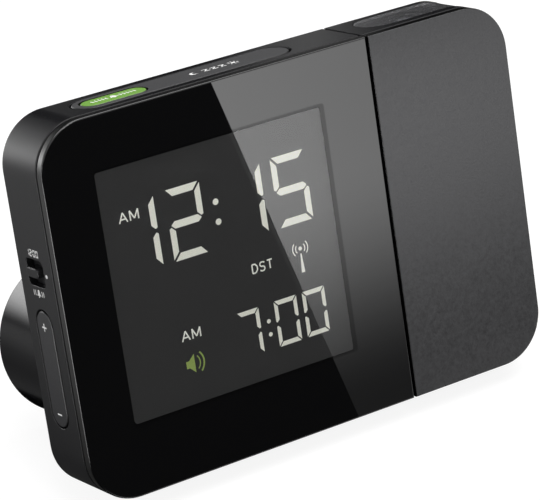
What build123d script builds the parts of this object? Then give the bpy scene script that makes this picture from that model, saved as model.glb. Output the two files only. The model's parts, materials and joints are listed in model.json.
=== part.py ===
from build123d import *
import os
from math import cos, radians, sin, tan

os.makedirs("parts", exist_ok=True)

# Millimetres and degrees. Places are given on the slab: x runs right from the left side,
# y runs into the depth from the front face and z runs up the slab from its bottom face.

# Housing
clock_width = 135.0
clock_height = 94.0
slab_depth = 19.7
corner_radius = 12.5
wall = 2.0
edge_round = 0.4
front_round = 0.3
back_round = 0.8
rim_round = 0.25
lean = 14.65
slip = 0.1

# Front plates, and the shadow groove between them and the shells
plate_thick = 2.1
groove = 0.8
carrier_lip = 1.2
arm_width = 40.9
seam_gap = 0.75

# Display: the window's margins on the front panel, and the layers behind it
window_left = 13.6
window_right = 14.75
window_over = 13.65
window_under = 17.25
window_radius = 0.8
window_fit = 0.04
lcd_border = 2.0
lcd_gap = 0.15
lcd_thick = 1.4
guide_thick = 1.2
frame_wall = 1.5
frame_floor = 0.7

# Main board with its control chip
board_thick = 1.4
board_left = 11.0
board_right = 10.7
board_bottom = 12.0
board_tray_gap = 2.4
chip_size = 14.0
chip_thick = 1.6
chip_over = 6.0
chip_gap = 2.0

# Rear cover and its screws
cover_thick = 2.0
boss_inset = 3.0
boss_radius = 3.3
boss_length = 9.0
screw_radius = 1.1
screw_length = 8.0
head_radius = 2.2
head_thick = 1.4
screw_fit = 0.05
cross_length = 2.4
cross_width = 0.6
cross_deep = 0.8

# Battery tray for two small round cells
cell_radius = 5.25
cell_length = 43.5
nub_radius = 1.9
nub_length = 1.0
cell_gap = 0.4
spring_room = 3.2
spring_radius = 2.6
contact_thick = 0.4
contact_size = 8.4
tray_drop = 26.0
tray_floor = 0.8
tray_rim = 1.2
door_ledge = 1.5
door_thick = 1.8
door_grip_width = 12.0
door_grip_height = 3.0
door_grip_deep = 0.7

# Round foot drum on the back, with the sounder inside
drum_x = 26.0
drum_z = 28.5
drum_radius = 20.8
drum_wall = 2.0
drum_base = 2.0
drum_rim_round = 0.6
spigot_radius = 8.0
spigot_bore = 5.5
spigot_reach = 0.6
cap_thick = 2.0
cap_inset = 0.3
sound_hole_radius = 1.2
sound_ring = 6.5
sound_ring_outer = 11.5
sounder_radius = 17.2
sounder_rim = 1.6
cone_length = 5.0
magnet_radius = 9.0
magnet_length = 6.0

# Rubber feet
foot_height = 0.8
foot_length = 12.0
foot_deep = 5.0
foot_edge = 0.6
foot_round = 1.2
foot_left = 28.0
foot_right = 11.7
pad_width = 11.0
pad_deep = 4.6
pad_bite = 1.6

# Keys on the top: the snooze bar, and the alarm key set into its left end
snooze_left = 16.85
snooze_right = 16.4
snooze_y = 10.8
snooze_width = 10.3
alarm_inset = 2.2
alarm_length = 17.45
alarm_width = 6.3
key_gap = 0.45
key_proud = 0.05
key_lip = 1.0
key_flange = 1.2
key_rest_gap = 0.1
key_travel = 1.0
alarm_travel = 0.8
alarm_gap = 0.45
post_radius = 1.5
post_near = 5.0
post_far = 6.0

# Boards behind the keys, and the small push switches on them
key_board_thick = 1.2
key_board_drop = 10.0
key_board_left = 11.8
key_board_right = 10.2
key_board_front = 6.2
key_board_back = 16.4
stud_radius = 1.5
stud_left = 13.4
stud_right = 12.1
stud_screw_radius = 0.75
stud_screw_length = 4.0
stud_head_radius = 1.4
stud_head_thick = 0.8
tact_size = 4.5
tact_thick = 1.6
plunger_radius = 1.5
plunger_length = 0.4
press_gap = 0.3

# Plus and minus rocker on the left side
side_y = 11.2
rocker_under = 19.15
rocker_slot_gap = 6.25
rocker_width = 7.4
rocker_gap = 0.4
rocker_proud = 0.05
rocker_lip = 0.7
rocker_flange = 1.0
rocker_play = 0.7
rocker_swing = 2.0
rocker_post_inset = 3.6
pin_radius = 1.0
pin_fit = 0.05
ear_thick = 0.9
ear_gap = 0.25
ear_half = 2.2
side_board_x = 7.4
side_stud_under = 15.4
side_stud_over = 10.5
side_board_margin = 2.4

# Three-position mode knob on the left side
slot_drop = 36.1
slot_height = 6.6
slot_width = 8.0
slot_radius = 1.2
knob_y = 12.1
knob_height = 2.5
knob_width = 5.8
knob_proud = 0.5
knob_travel = 1.8
knob_plate = 1.1
knob_overlap = 0.8
tail_half_width = 0.8
tail_half_height = 1.0
tail_reach = 2.4
switch_half_width = 3.0
switch_half_height = 5.0
switch_thick = 2.4
switch_gap = 0.3

# Aerial for the time signal
rod_radius = 3.0
rod_length = 58.0
rod_y = 12.4
rod_z = 14.2
coil_radius = 4.1
coil_length = 16.0
coil_gap = 0.8
cradle_thick = 2.4
cradle_half = 4.2
cradle_inset = 5.0

# Adaptor inlet in the rear cover
inlet_inset = 7.0
inlet_z = 26.0
inlet_radius = 4.0
inlet_bore = 2.9
inlet_deep = 9.0
inlet_pin_radius = 0.95
inlet_pin_setback = 1.6
inlet_block_half = 5.0

# Pivot between the display half and the projector arm
axle_radius = 3.0
axle_bore = 1.8
axle_fit = 0.05
axle_flange_radius = 5.2
axle_flange = 1.4
bush_radius = 4.2
bush_flange_radius = 6.6
bush_flange = 0.5
pivot_boss_radius = 5.3
pivot_boss_length = 5.0
washer_thick = 0.6
washer_radius = 5.0
clip_thick = 0.7
clip_radius = 4.8
clip_groove = 0.5
clip_mouth = 3.6
end_play = 0.05
axle_tail = 0.8

# Projector in the arm
arm_boss_under = 20.0
arm_boss_over = 22.0
lens_shift = 1.55
lens_y = 10.3
lens_radius = 4.2
lens_edge = 1.4
lens_crown = 1.0
lens_seat = 1.0
barrel_radius = 5.6
barrel_bore = 4.3
barrel_drop = 32.0
barrel_top_gap = 0.6
slide_size = 8.6
slide_thick = 1.0
lamp_height = 10.0
lamp_width = 17.0
lamp_front = 4.4
lamp_bore = 3.6
lamp_board_thick = 1.4
lamp_board_margin = 1.5
led_radius = 2.5
led_length = 5.0
led_base_radius = 2.9
led_base = 1.0

# Smoked window in the arm's top, wrapped over the right-hand corner
shade_inset = 4.8
shade_width = 11.6
shade_y = 11.6
shade_drop = 18.0
shade_sink = 0.15
shade_fit = 0.15

# Where the slab stands: it leans back on the feet and on the drum's rim, which is long enough to
# reach the table. The origin is on the table, in the middle of the clock's width and depth.
drum_end = slab_depth + (drum_z - drum_radius) / tan(radians(lean))
reach_back = drum_end * cos(radians(lean)) + (drum_z + drum_radius) * sin(radians(lean))
slab = Plane(
    origin=(
        (knob_proud - clock_width) / 2,
        -reach_back / 2,
        foot_height + slab_depth * sin(radians(lean)),
    ),
    x_dir=(1, 0, 0),
    z_dir=(0, -cos(radians(lean)), sin(radians(lean))),
)
toward_front = Axis(slab.origin, slab.z_dir)
up_slab = Axis(slab.origin, slab.y_dir)

# Depths of the layers behind the front face
shell_front = plate_thick + groove
carrier_back = shell_front + carrier_lip
lcd_front = plate_thick + lcd_gap
lcd_back = lcd_front + lcd_thick
guide_back = lcd_back + guide_thick
frame_back = guide_back + frame_floor
board_back = frame_back + board_thick
cover_front = slab_depth - cover_thick
door_front = slab_depth - door_thick

# The two halves, and the display in the left one
panel_width = clock_width - seam_gap - arm_width
arm_left = clock_width - arm_width
carrier_inset = wall + slip
pivot_y = slab_depth / 2
pivot_z = clock_height / 2
window_width = panel_width - window_left - window_right
window_height = clock_height - window_over - window_under
window_x = window_left + window_width / 2
window_z = window_under + window_height / 2
lcd_width = window_width + 2 * lcd_border
lcd_height = window_height + 2 * lcd_border

# Keys on the top and the left side, with the studs and posts that follow them
snooze_length = panel_width - snooze_left - snooze_right
snooze_x = snooze_left + snooze_length / 2
alarm_x = snooze_left + alarm_inset + alarm_length / 2
snooze_posts = (alarm_x + alarm_length / 2 + post_near, snooze_left + snooze_length - post_far)
key_board_z = clock_height - key_board_drop
top_studs = [(stud_left, snooze_y), (panel_width - stud_right, snooze_y)]
slot_z = clock_height - slot_drop
rocker_length = slot_z - slot_height / 2 - rocker_slot_gap - rocker_under
rocker_z = rocker_under + rocker_length / 2
rocker_post_z = rocker_length / 2 - rocker_post_inset
side_stud_high = slot_z + side_stud_over
side_studs = [(side_stud_under, side_y), (side_stud_high, side_y)]

# Tray and aerial, centred between the side board and the seam wall, and the main board under the tray
side_board_back = side_board_x + key_board_thick + stud_head_thick
room_x = (side_board_back + panel_width - wall) / 2
tray_x = room_x
tray_z = clock_height - tray_drop
tray_walls = door_ledge + tray_rim
tray_length = cell_length + nub_length + spring_room + 2 * contact_thick
tray_height = 4 * cell_radius + 2 * cell_gap
tray_front = door_front - slip - 2 * cell_radius - cell_gap
cell_y = tray_front + cell_gap / 2 + cell_radius
rod_x = room_x
cradle_reach = rod_length / 2 - cradle_inset
coil_x = rod_x + cradle_reach - cradle_thick / 2 - coil_gap - coil_length / 2
board_top = tray_z - tray_height / 2 - tray_walls - board_tray_gap
inlet_x = panel_width - board_right - inlet_inset
chip_x = inlet_x - inlet_block_half - chip_gap - chip_size / 2

# Projector on the arm's middle, under its window
lens_x = arm_left + arm_width / 2 - lens_shift
barrel_bottom_z = clock_height - barrel_drop
lamp_bottom_z = barrel_bottom_z - lamp_height
shade_left = arm_left + shade_inset


def front(depth):
    """Plane parallel to the front face at a depth behind it: x runs right and y up the slab."""
    return slab.offset(-depth)


def level(height):
    """Plane square to the slab's height, facing up: x runs right and y into the depth."""
    return Plane(slab.from_local_coords((0, height, 0)), x_dir=slab.x_dir, z_dir=slab.y_dir)


def side(across):
    """Plane square to the width, facing left: x runs up the slab and y into the depth."""
    return Plane(slab.from_local_coords((across, 0, 0)), x_dir=slab.y_dir, z_dir=-slab.x_dir)


def table_point(depth, height):
    """World depth and height of a point of the slab, on a plane square to the width."""
    spot = slab.from_local_coords((0, height, -depth))
    return spot.Y, spot.Z


def body_outline(inset):
    """Outline of the display half, drawn in by an inset: round at the left, square at the seam."""
    with BuildSketch() as outline:
        with Locations((panel_width / 2, clock_height / 2)):
            Rectangle(panel_width - 2 * inset, clock_height - 2 * inset)
        fillet(outline.vertices().sort_by(Axis.X)[:2], corner_radius - inset)
    return outline.sketch


def arm_outline(inset):
    """Outline of the projector arm, drawn in by an inset: square at the seam, round at the right."""
    with BuildSketch() as outline:
        with Locations((arm_left + arm_width / 2, clock_height / 2)):
            Rectangle(arm_width - 2 * inset, clock_height - 2 * inset)
        fillet(outline.vertices().sort_by(Axis.X)[2:], corner_radius - inset)
    return outline.sketch


def shade_strip(outer, inner, spare):
    """Strip of the arm's wall between two insets, cut to a pill as seen from the top and from the side."""
    pill_width = shade_width + 2 * spare
    with BuildPart() as strip:
        with BuildSketch(front(shell_front)):
            add(arm_outline(outer))
            add(arm_outline(inner), mode=Mode.SUBTRACT)
        extrude(amount=shell_front - slab_depth)
        with BuildSketch(level(clock_height)):
            with Locations((shade_left - spare, shade_y)):
                SlotOverall(clock_width, pill_width, align=(Align.MIN, Align.CENTER))
        extrude(amount=-clock_height, mode=Mode.INTERSECT)
        with BuildSketch(side(clock_width)):
            with Locations((clock_height - shade_drop - spare, shade_y)):
                SlotOverall(clock_height, pill_width, align=(Align.MIN, Align.CENTER))
        extrude(amount=clock_width, mode=Mode.INTERSECT)
    return strip


def rims(face):
    """Edges of the openings in a face."""
    return [edge for wire in face.inner_wires() for edge in wire.edges()]


def keep(piece, name):
    """Label a finished piece and write it to its own file."""
    piece.part.label = name
    export_step(piece.part, f"parts/{name}.step")


# Corners where the rear cover is screwed to the body shell
round_boss = corner_radius - (corner_radius - wall - boss_inset) * cos(radians(45))
square_boss_x = panel_width - wall - boss_inset
square_boss_z = wall + boss_inset
body_bosses = [
    (round_boss, round_boss),
    (round_boss, clock_height - round_boss),
    (square_boss_x, square_boss_z),
    (square_boss_x, clock_height - square_boss_z),
]
arm_boss_xs = (arm_left + wall + boss_inset, clock_width - wall - boss_inset)
arm_boss_zs = (arm_boss_under, clock_height - arm_boss_over)
arm_bosses = [(x, z) for x in arm_boss_xs for z in arm_boss_zs]

# Front panel: gloss black moulding with the window opening
with BuildPart() as front_panel:
    with BuildSketch(front(0)):
        add(body_outline(0))
    extrude(amount=-plate_thick)
    with BuildSketch(front(0)):
        with Locations((window_x, window_z)):
            RectangleRounded(window_width, window_height, window_radius)
    extrude(amount=-plate_thick, mode=Mode.SUBTRACT)
    fillet(front_panel.faces().sort_by(toward_front)[-1].outer_wire().edges(), edge_round)
keep(front_panel, "front_panel")

# Display window: clear insert, flush with the panel
with BuildPart() as display_window:
    with BuildSketch(front(0)):
        with Locations((window_x, window_z)):
            RectangleRounded(
                window_width - 2 * window_fit,
                window_height - 2 * window_fit,
                window_radius - window_fit,
            )
    extrude(amount=-plate_thick)
keep(display_window, "display_window")

# Panel carrier: recessed plate that makes the groove and plugs into the shell's front
with BuildPart() as panel_carrier:
    with BuildSketch(front(plate_thick)):
        add(body_outline(carrier_inset))
        with Locations((window_x, window_z)):
            Rectangle(lcd_width + 2 * slip, lcd_height + 2 * slip, mode=Mode.SUBTRACT)
    extrude(amount=plate_thick - carrier_back)
keep(panel_carrier, "panel_carrier")

# Display glass just behind the window, and the light guide behind it
with BuildPart() as lcd_glass:
    with BuildSketch(front(lcd_front)):
        with Locations((window_x, window_z)):
            Rectangle(lcd_width, lcd_height)
    extrude(amount=-lcd_thick)
keep(lcd_glass, "lcd_glass")

with BuildPart() as light_guide:
    with BuildSketch(front(lcd_back)):
        with Locations((window_x, window_z)):
            Rectangle(lcd_width, lcd_height)
    extrude(amount=-guide_thick)
keep(light_guide, "light_guide")

# Display frame: shallow tray that holds both against the carrier
with BuildPart() as lcd_frame:
    with BuildSketch(front(carrier_back)):
        with Locations((window_x, window_z)):
            Rectangle(lcd_width + 2 * frame_wall, lcd_height + 2 * frame_wall)
    extrude(amount=carrier_back - frame_back)
    with BuildSketch(front(carrier_back)):
        with Locations((window_x, window_z)):
            Rectangle(lcd_width + 2 * slip, lcd_height + 2 * slip)
    extrude(amount=carrier_back - guide_back, mode=Mode.SUBTRACT)
keep(lcd_frame, "lcd_frame")

# Main board on the frame's back, with the control chip
with BuildPart() as main_board:
    with BuildSketch(front(frame_back)):
        with Locations((board_left, board_bottom)):
            Rectangle(
                panel_width - board_left - board_right,
                board_top - board_bottom,
                align=Align.MIN,
            )
    extrude(amount=-board_thick)
keep(main_board, "main_board")

with BuildPart() as control_chip:
    with BuildSketch(front(board_back)):
        with Locations((chip_x, board_top - chip_over - chip_size / 2)):
            Rectangle(chip_size, chip_size)
    extrude(amount=-chip_thick)
keep(control_chip, "control_chip")

# Body shell: the side walls of the display half, open at the front and the back
key_wall_top = clock_height - wall
rocker_pivot_x = wall + rocker_play + rocker_flange / 2
flange_half = rocker_width / 2 + rocker_lip
ear_inner = flange_half + ear_gap
with BuildPart() as body_shell:
    with BuildSketch(front(shell_front)):
        add(body_outline(0))
    extrude(amount=shell_front - slab_depth)
    fillet(body_shell.faces().sort_by(toward_front)[0].outer_wire().edges(), back_round)
    fillet(body_shell.faces().sort_by(toward_front)[-1].outer_wire().edges(), front_round)
    with BuildSketch(front(shell_front)):
        add(body_outline(wall))
    extrude(amount=shell_front - slab_depth, mode=Mode.SUBTRACT)
    # Bosses for the cover screws, merged with the corners
    with BuildSketch(front(cover_front)):
        with Locations(*body_bosses):
            Circle(boss_radius)
    extrude(amount=boss_length)
    with BuildSketch(front(cover_front)):
        with Locations(*body_bosses):
            Circle(screw_radius + screw_fit)
    extrude(amount=screw_length, mode=Mode.SUBTRACT)
    # Pivot boss on the seam wall, bored for the bush
    with BuildSketch(side(panel_width)):
        with Locations((pivot_z, pivot_y)):
            Circle(pivot_boss_radius)
    extrude(amount=pivot_boss_length)
    with BuildSketch(side(panel_width)):
        with Locations((pivot_z, pivot_y)):
            Circle(bush_radius + slip / 2)
    extrude(amount=pivot_boss_length, mode=Mode.SUBTRACT)
    # Opening for the snooze bar, and studs for the key board under it
    with BuildSketch(level(clock_height)):
        with Locations((snooze_x, snooze_y)):
            SlotOverall(snooze_length + 2 * key_gap, snooze_width + 2 * key_gap)
    extrude(amount=-wall, mode=Mode.SUBTRACT)
    fillet(rims(body_shell.faces().sort_by(up_slab)[-1]), rim_round)
    with BuildSketch(level(key_board_z + key_board_thick)):
        with Locations(*top_studs):
            Circle(stud_radius)
    extrude(amount=key_wall_top - key_board_z - key_board_thick)
    with BuildSketch(level(key_board_z + key_board_thick)):
        with Locations(*top_studs):
            Circle(stud_screw_radius + screw_fit)
    extrude(amount=stud_screw_length, mode=Mode.SUBTRACT)
    # Openings for the rocker and the mode knob, and studs for the side board
    with BuildSketch(side(0)):
        with Locations((rocker_z, side_y)):
            SlotOverall(rocker_length + 2 * rocker_gap, rocker_width + 2 * rocker_gap)
        with Locations((slot_z, side_y)):
            RectangleRounded(slot_height, slot_width, slot_radius)
    extrude(amount=-wall, mode=Mode.SUBTRACT)
    fillet(rims(body_shell.faces().sort_by(Axis.X)[0]), rim_round)
    with BuildSketch(side(wall)):
        with Locations(*side_studs):
            Circle(stud_radius)
    extrude(amount=wall - side_board_x)
    with BuildSketch(side(side_board_x)):
        with Locations(*side_studs):
            Circle(stud_screw_radius + screw_fit)
    extrude(amount=stud_screw_length, mode=Mode.SUBTRACT)
    # Two ears that carry the rocker's pin
    for ear_start in (side_y - ear_inner - ear_thick, side_y + ear_inner):
        with BuildSketch(front(ear_start)):
            with Locations((wall, rocker_z)):
                Rectangle(
                    rocker_pivot_x + ear_half - wall,
                    2 * ear_half,
                    align=(Align.MIN, Align.CENTER),
                )
            with Locations((rocker_pivot_x, rocker_z)):
                Circle(pin_radius + pin_fit, mode=Mode.SUBTRACT)
        extrude(amount=-ear_thick)
    # Two cradles on the floor for the aerial rod
    for cradle_x in (rod_x - cradle_reach, rod_x + cradle_reach):
        with BuildSketch(side(cradle_x - cradle_thick / 2)):
            with Locations((wall, rod_y)):
                Rectangle(rod_z - wall, 2 * cradle_half, align=(Align.MIN, Align.CENTER))
            with Locations((rod_z, rod_y)):
                Circle(rod_radius + slip, mode=Mode.SUBTRACT)
        extrude(amount=-cradle_thick)
keep(body_shell, "body_shell")

# Rear cover: plate inside the shell's back, with the battery tray moulded on its inner side
with BuildPart() as rear_cover:
    with BuildSketch(front(cover_front)):
        add(body_outline(carrier_inset))
    extrude(amount=-cover_thick)
    with BuildSketch(front(tray_front - tray_floor)):
        with Locations((tray_x, tray_z)):
            Rectangle(tray_length + 2 * tray_walls, tray_height + 2 * tray_walls)
    extrude(amount=tray_front - tray_floor - cover_front)
    with BuildSketch(front(tray_front)):
        with Locations((tray_x, tray_z)):
            Rectangle(tray_length, tray_height)
    extrude(amount=tray_front - slab_depth, mode=Mode.SUBTRACT)
    with BuildSketch(front(door_front)):
        with Locations((tray_x, tray_z)):
            Rectangle(tray_length + 2 * door_ledge, tray_height + 2 * door_ledge)
    extrude(amount=-door_thick, mode=Mode.SUBTRACT)
    # Holes for the screws, the drum's spigot and the adaptor inlet
    with BuildSketch(front(cover_front)):
        with Locations(*body_bosses):
            Circle(screw_radius + slip)
        with Locations((drum_x, drum_z)):
            Circle(spigot_radius + slip)
        with Locations((inlet_x, inlet_z)):
            Circle(inlet_radius + slip)
    extrude(amount=-cover_thick, mode=Mode.SUBTRACT)
    with BuildSketch(front(slab_depth)):
        with Locations(*body_bosses):
            Circle(head_radius + slip)
    extrude(amount=head_thick, mode=Mode.SUBTRACT)
keep(rear_cover, "rear_cover")


def screws(points):
    """Cross-head screws driven from the back at the given points of a cover."""
    with BuildPart() as group:
        with BuildSketch(front(slab_depth)):
            with Locations(*points):
                Circle(head_radius)
        extrude(amount=head_thick)
        with BuildSketch(front(slab_depth - head_thick)):
            with Locations(*points):
                Circle(screw_radius)
        extrude(amount=screw_length)
        with BuildSketch(front(slab_depth)):
            with Locations(*points):
                Rectangle(cross_length, cross_width)
                Rectangle(cross_width, cross_length)
        extrude(amount=cross_deep, mode=Mode.SUBTRACT)
    return group


cover_screws = screws(body_bosses)
keep(cover_screws, "cover_screws")

# Battery door: flush plate on the tray's ledge, with a finger hollow
with BuildPart() as battery_door:
    with BuildSketch(front(door_front)):
        with Locations((tray_x, tray_z)):
            Rectangle(
                tray_length + 2 * door_ledge - 2 * slip,
                tray_height + 2 * door_ledge - 2 * slip,
            )
    extrude(amount=-door_thick)
    with BuildSketch(front(slab_depth)):
        with Locations((tray_x, tray_z - tray_height / 2 + door_grip_height)):
            SlotOverall(door_grip_width, door_grip_height)
    extrude(amount=door_grip_deep, mode=Mode.SUBTRACT)
keep(battery_door, "battery_door")

# Two cells side by side, pointing opposite ways, between their contacts
cell_rows = (tray_z - cell_radius - cell_gap / 2, tray_z + cell_radius + cell_gap / 2)
tray_left = tray_x - tray_length / 2
tray_right = tray_x + tray_length / 2
with BuildPart() as battery_cells:
    for row_z, nub_left in zip(cell_rows, (False, True)):
        cell_start = tray_left + contact_thick + (nub_length if nub_left else spring_room)
        nub_start = cell_start - nub_length if nub_left else cell_start + cell_length
        with BuildSketch(side(cell_start)):
            with Locations((row_z, cell_y)):
                Circle(cell_radius)
        extrude(amount=-cell_length)
        with BuildSketch(side(nub_start)):
            with Locations((row_z, cell_y)):
                Circle(nub_radius)
        extrude(amount=-nub_length)
keep(battery_cells, "battery_cells")

with BuildPart() as battery_contacts:
    for row_z, nub_left in zip(cell_rows, (False, True)):
        for plate_x in (tray_left, tray_right - contact_thick):
            with BuildSketch(side(plate_x)):
                with Locations((row_z, cell_y)):
                    Rectangle(contact_size, contact_size)
            extrude(amount=-contact_thick)
        spring_x = tray_right - contact_thick - spring_room if nub_left else tray_left + contact_thick
        with BuildSketch(side(spring_x)):
            with Locations((row_z, cell_y)):
                Circle(spring_radius)
        extrude(amount=-spring_room)
keep(battery_contacts, "battery_contacts")

# Foot drum: round cup on the back with a hollow spigot through the rear cover for the wires
with BuildPart() as foot_drum:
    with BuildSketch(front(slab_depth)):
        with Locations((drum_x, drum_z)):
            Circle(drum_radius)
    extrude(amount=slab_depth - drum_end)
    fillet(foot_drum.faces().sort_by(toward_front)[0].edges(), drum_rim_round)
    with BuildSketch(front(drum_end)):
        with Locations((drum_x, drum_z)):
            Circle(drum_radius - drum_wall)
    extrude(amount=drum_end - slab_depth - drum_base, mode=Mode.SUBTRACT)
    with BuildSketch(front(slab_depth)):
        with Locations((drum_x, drum_z)):
            Circle(spigot_radius)
    extrude(amount=cover_thick + spigot_reach)
    with BuildSketch(front(slab_depth + drum_base)):
        with Locations((drum_x, drum_z)):
            Circle(spigot_bore)
    extrude(amount=drum_base + cover_thick + spigot_reach, mode=Mode.SUBTRACT)
keep(foot_drum, "foot_drum")

# Drum cap: disc inside the drum's end with two rings of sound holes
cap_back = drum_end - cap_inset
cap_front = cap_back - cap_thick
with BuildPart() as drum_cap:
    with BuildSketch(front(cap_front)):
        with Locations((drum_x, drum_z)):
            Circle(drum_radius - drum_wall - slip)
            Circle(sound_hole_radius, mode=Mode.SUBTRACT)
            with PolarLocations(sound_ring, 6):
                Circle(sound_hole_radius, mode=Mode.SUBTRACT)
            with PolarLocations(sound_ring_outer, 12):
                Circle(sound_hole_radius, mode=Mode.SUBTRACT)
    extrude(amount=-cap_thick)
keep(drum_cap, "drum_cap")

# Sounder: small loudspeaker turned about the drum's axis, its rim against the cap
with BuildPart() as sounder:
    with BuildSketch(Plane(front(cap_front).from_local_coords((drum_x, drum_z, 0)),
                           x_dir=slab.x_dir, z_dir=-slab.y_dir)):
        with BuildLine():
            Polyline(
                (0, 0),
                (0, cone_length + magnet_length),
                (magnet_radius, cone_length + magnet_length),
                (magnet_radius, cone_length),
                (sounder_radius, sounder_rim),
                (sounder_radius, 0),
                close=True,
            )
        make_face()
    revolve(axis=Axis(front(0).from_local_coords((drum_x, drum_z, 0)), slab.z_dir))
keep(sounder, "sounder")

# Rubber feet: two wedges under the slab's back edge and a pad under the drum's rim, all cut to the table
with BuildPart() as slab_feet:
    for foot_x in (foot_left, panel_width - foot_right):
        foot_front = slab_depth - foot_edge - foot_deep
        front_y, front_top = table_point(foot_front, 0)
        back_y, back_top = table_point(slab_depth - foot_edge, 0)
        with BuildSketch(Plane.YZ.offset(slab.origin.X + foot_x - foot_length / 2)):
            Polygon((front_y, 0), (back_y, 0), (back_y, back_top), (front_y, front_top), align=None)
        extrude(amount=foot_length)
    fillet(slab_feet.edges().filter_by(Axis.Z), foot_round)
keep(slab_feet, "slab_feet")

with BuildPart() as drum_pad:
    pad_top = drum_z - drum_radius + pad_bite
    front_y, front_top = table_point(drum_end - drum_rim_round - pad_deep, pad_top)
    back_y, back_top = table_point(drum_end - drum_rim_round, pad_top)
    with BuildSketch(Plane.YZ.offset(slab.origin.X + drum_x - pad_width / 2)):
        Polygon((front_y, 0), (back_y, 0), (back_y, back_top), (front_y, front_top), align=None)
    extrude(amount=pad_width)
    fillet(drum_pad.edges().filter_by(Axis.Z), foot_round)
    with BuildSketch(front(slab_depth)):
        with Locations((drum_x, drum_z)):
            Circle(drum_radius)
    extrude(amount=slab_depth - drum_end, mode=Mode.SUBTRACT)
keep(drum_pad, "drum_pad")

# Snooze bar: long pill key with a lip under the top wall and two posts over its switches
key_lip_top = key_wall_top - key_rest_gap
key_lip_bottom = key_lip_top - key_flange
tact_top = key_board_z + key_board_thick + tact_thick + plunger_length
with BuildPart() as snooze_bar:
    with BuildSketch(level(clock_height + key_proud)):
        with Locations((snooze_x, snooze_y)):
            SlotOverall(snooze_length, snooze_width)
    extrude(amount=key_lip_bottom - clock_height - key_proud)
    fillet(snooze_bar.faces().sort_by(up_slab)[-1].edges(), edge_round)
    with BuildSketch(level(key_lip_top)):
        with Locations((snooze_x, snooze_y)):
            SlotOverall(snooze_length + 2 * key_lip, snooze_width + 2 * key_lip)
    extrude(amount=-key_flange)
    with BuildSketch(level(clock_height + key_proud)):
        with Locations((alarm_x, snooze_y)):
            SlotOverall(alarm_length + 2 * alarm_gap, alarm_width + 2 * alarm_gap)
    extrude(amount=key_lip_bottom - clock_height - key_proud, mode=Mode.SUBTRACT)
    with BuildSketch(level(key_lip_bottom)):
        with Locations(*[(post_x, snooze_y) for post_x in snooze_posts]):
            Circle(post_radius)
    extrude(amount=tact_top + key_travel + press_gap - key_lip_bottom)
keep(snooze_bar, "snooze_bar")

# Alarm key: green pill in the bar's opening, with its own lip below the bar's travel
alarm_lip_bottom = tact_top + alarm_travel + press_gap
alarm_lip_top = key_lip_bottom - key_travel - press_gap
with BuildPart() as alarm_key:
    with BuildSketch(level(clock_height + key_proud)):
        with Locations((alarm_x, snooze_y)):
            SlotOverall(alarm_length, alarm_width)
    extrude(amount=alarm_lip_bottom - clock_height - key_proud)
    fillet(alarm_key.faces().sort_by(up_slab)[-1].edges(), edge_round)
    with BuildSketch(level(alarm_lip_top)):
        with Locations((alarm_x, snooze_y)):
            SlotOverall(alarm_length + 2 * key_lip, alarm_width + 2 * key_lip)
    extrude(amount=alarm_lip_bottom - alarm_lip_top)
keep(alarm_key, "alarm_key")

# Key board under the top keys, and the side board behind the rocker and the knob
with BuildPart() as top_key_board:
    with BuildSketch(level(key_board_z)):
        with Locations((key_board_left, key_board_front)):
            Rectangle(
                panel_width - key_board_right - key_board_left,
                key_board_back - key_board_front,
                align=Align.MIN,
            )
        with Locations(*top_studs):
            Circle(stud_screw_radius + screw_fit, mode=Mode.SUBTRACT)
    extrude(amount=key_board_thick)
keep(top_key_board, "top_key_board")

side_board_low = side_stud_under - side_board_margin
side_board_high = side_stud_high + side_board_margin
with BuildPart() as side_key_board:
    with BuildSketch(side(side_board_x)):
        with Locations(((side_board_low + side_board_high) / 2, (key_board_front + key_board_back) / 2)):
            Rectangle(side_board_high - side_board_low, key_board_back - key_board_front)
        with Locations(*side_studs):
            Circle(stud_screw_radius + screw_fit, mode=Mode.SUBTRACT)
    extrude(amount=-key_board_thick)
keep(side_key_board, "side_key_board")

with BuildPart() as key_board_screws:
    with BuildSketch(level(key_board_z)):
        with Locations(*top_studs):
            Circle(stud_head_radius)
    extrude(amount=-stud_head_thick)
    with BuildSketch(level(key_board_z)):
        with Locations(*top_studs):
            Circle(stud_screw_radius)
    extrude(amount=stud_screw_length)
    with BuildSketch(side(side_board_x + key_board_thick)):
        with Locations(*side_studs):
            Circle(stud_head_radius)
    extrude(amount=-stud_head_thick)
    with BuildSketch(side(side_board_x + key_board_thick)):
        with Locations(*side_studs):
            Circle(stud_screw_radius)
    extrude(amount=stud_screw_length)
keep(key_board_screws, "key_board_screws")

# Push switches: three under the top keys and two behind the rocker's ends
top_tacts = [(alarm_x, snooze_y)] + [(post_x, snooze_y) for post_x in snooze_posts]
side_tacts = [(rocker_z - rocker_post_z, side_y), (rocker_z + rocker_post_z, side_y)]
with BuildPart() as tact_switches:
    with BuildSketch(level(key_board_z + key_board_thick)):
        with Locations(*top_tacts):
            Rectangle(tact_size, tact_size)
    extrude(amount=tact_thick)
    with BuildSketch(level(key_board_z + key_board_thick + tact_thick)):
        with Locations(*top_tacts):
            Circle(plunger_radius)
    extrude(amount=plunger_length)
    with BuildSketch(side(side_board_x)):
        with Locations(*side_tacts):
            Rectangle(tact_size, tact_size)
    extrude(amount=tact_thick)
    with BuildSketch(side(side_board_x - tact_thick)):
        with Locations(*side_tacts):
            Circle(plunger_radius)
    extrude(amount=plunger_length)
keep(tact_switches, "tact_switches")

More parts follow.
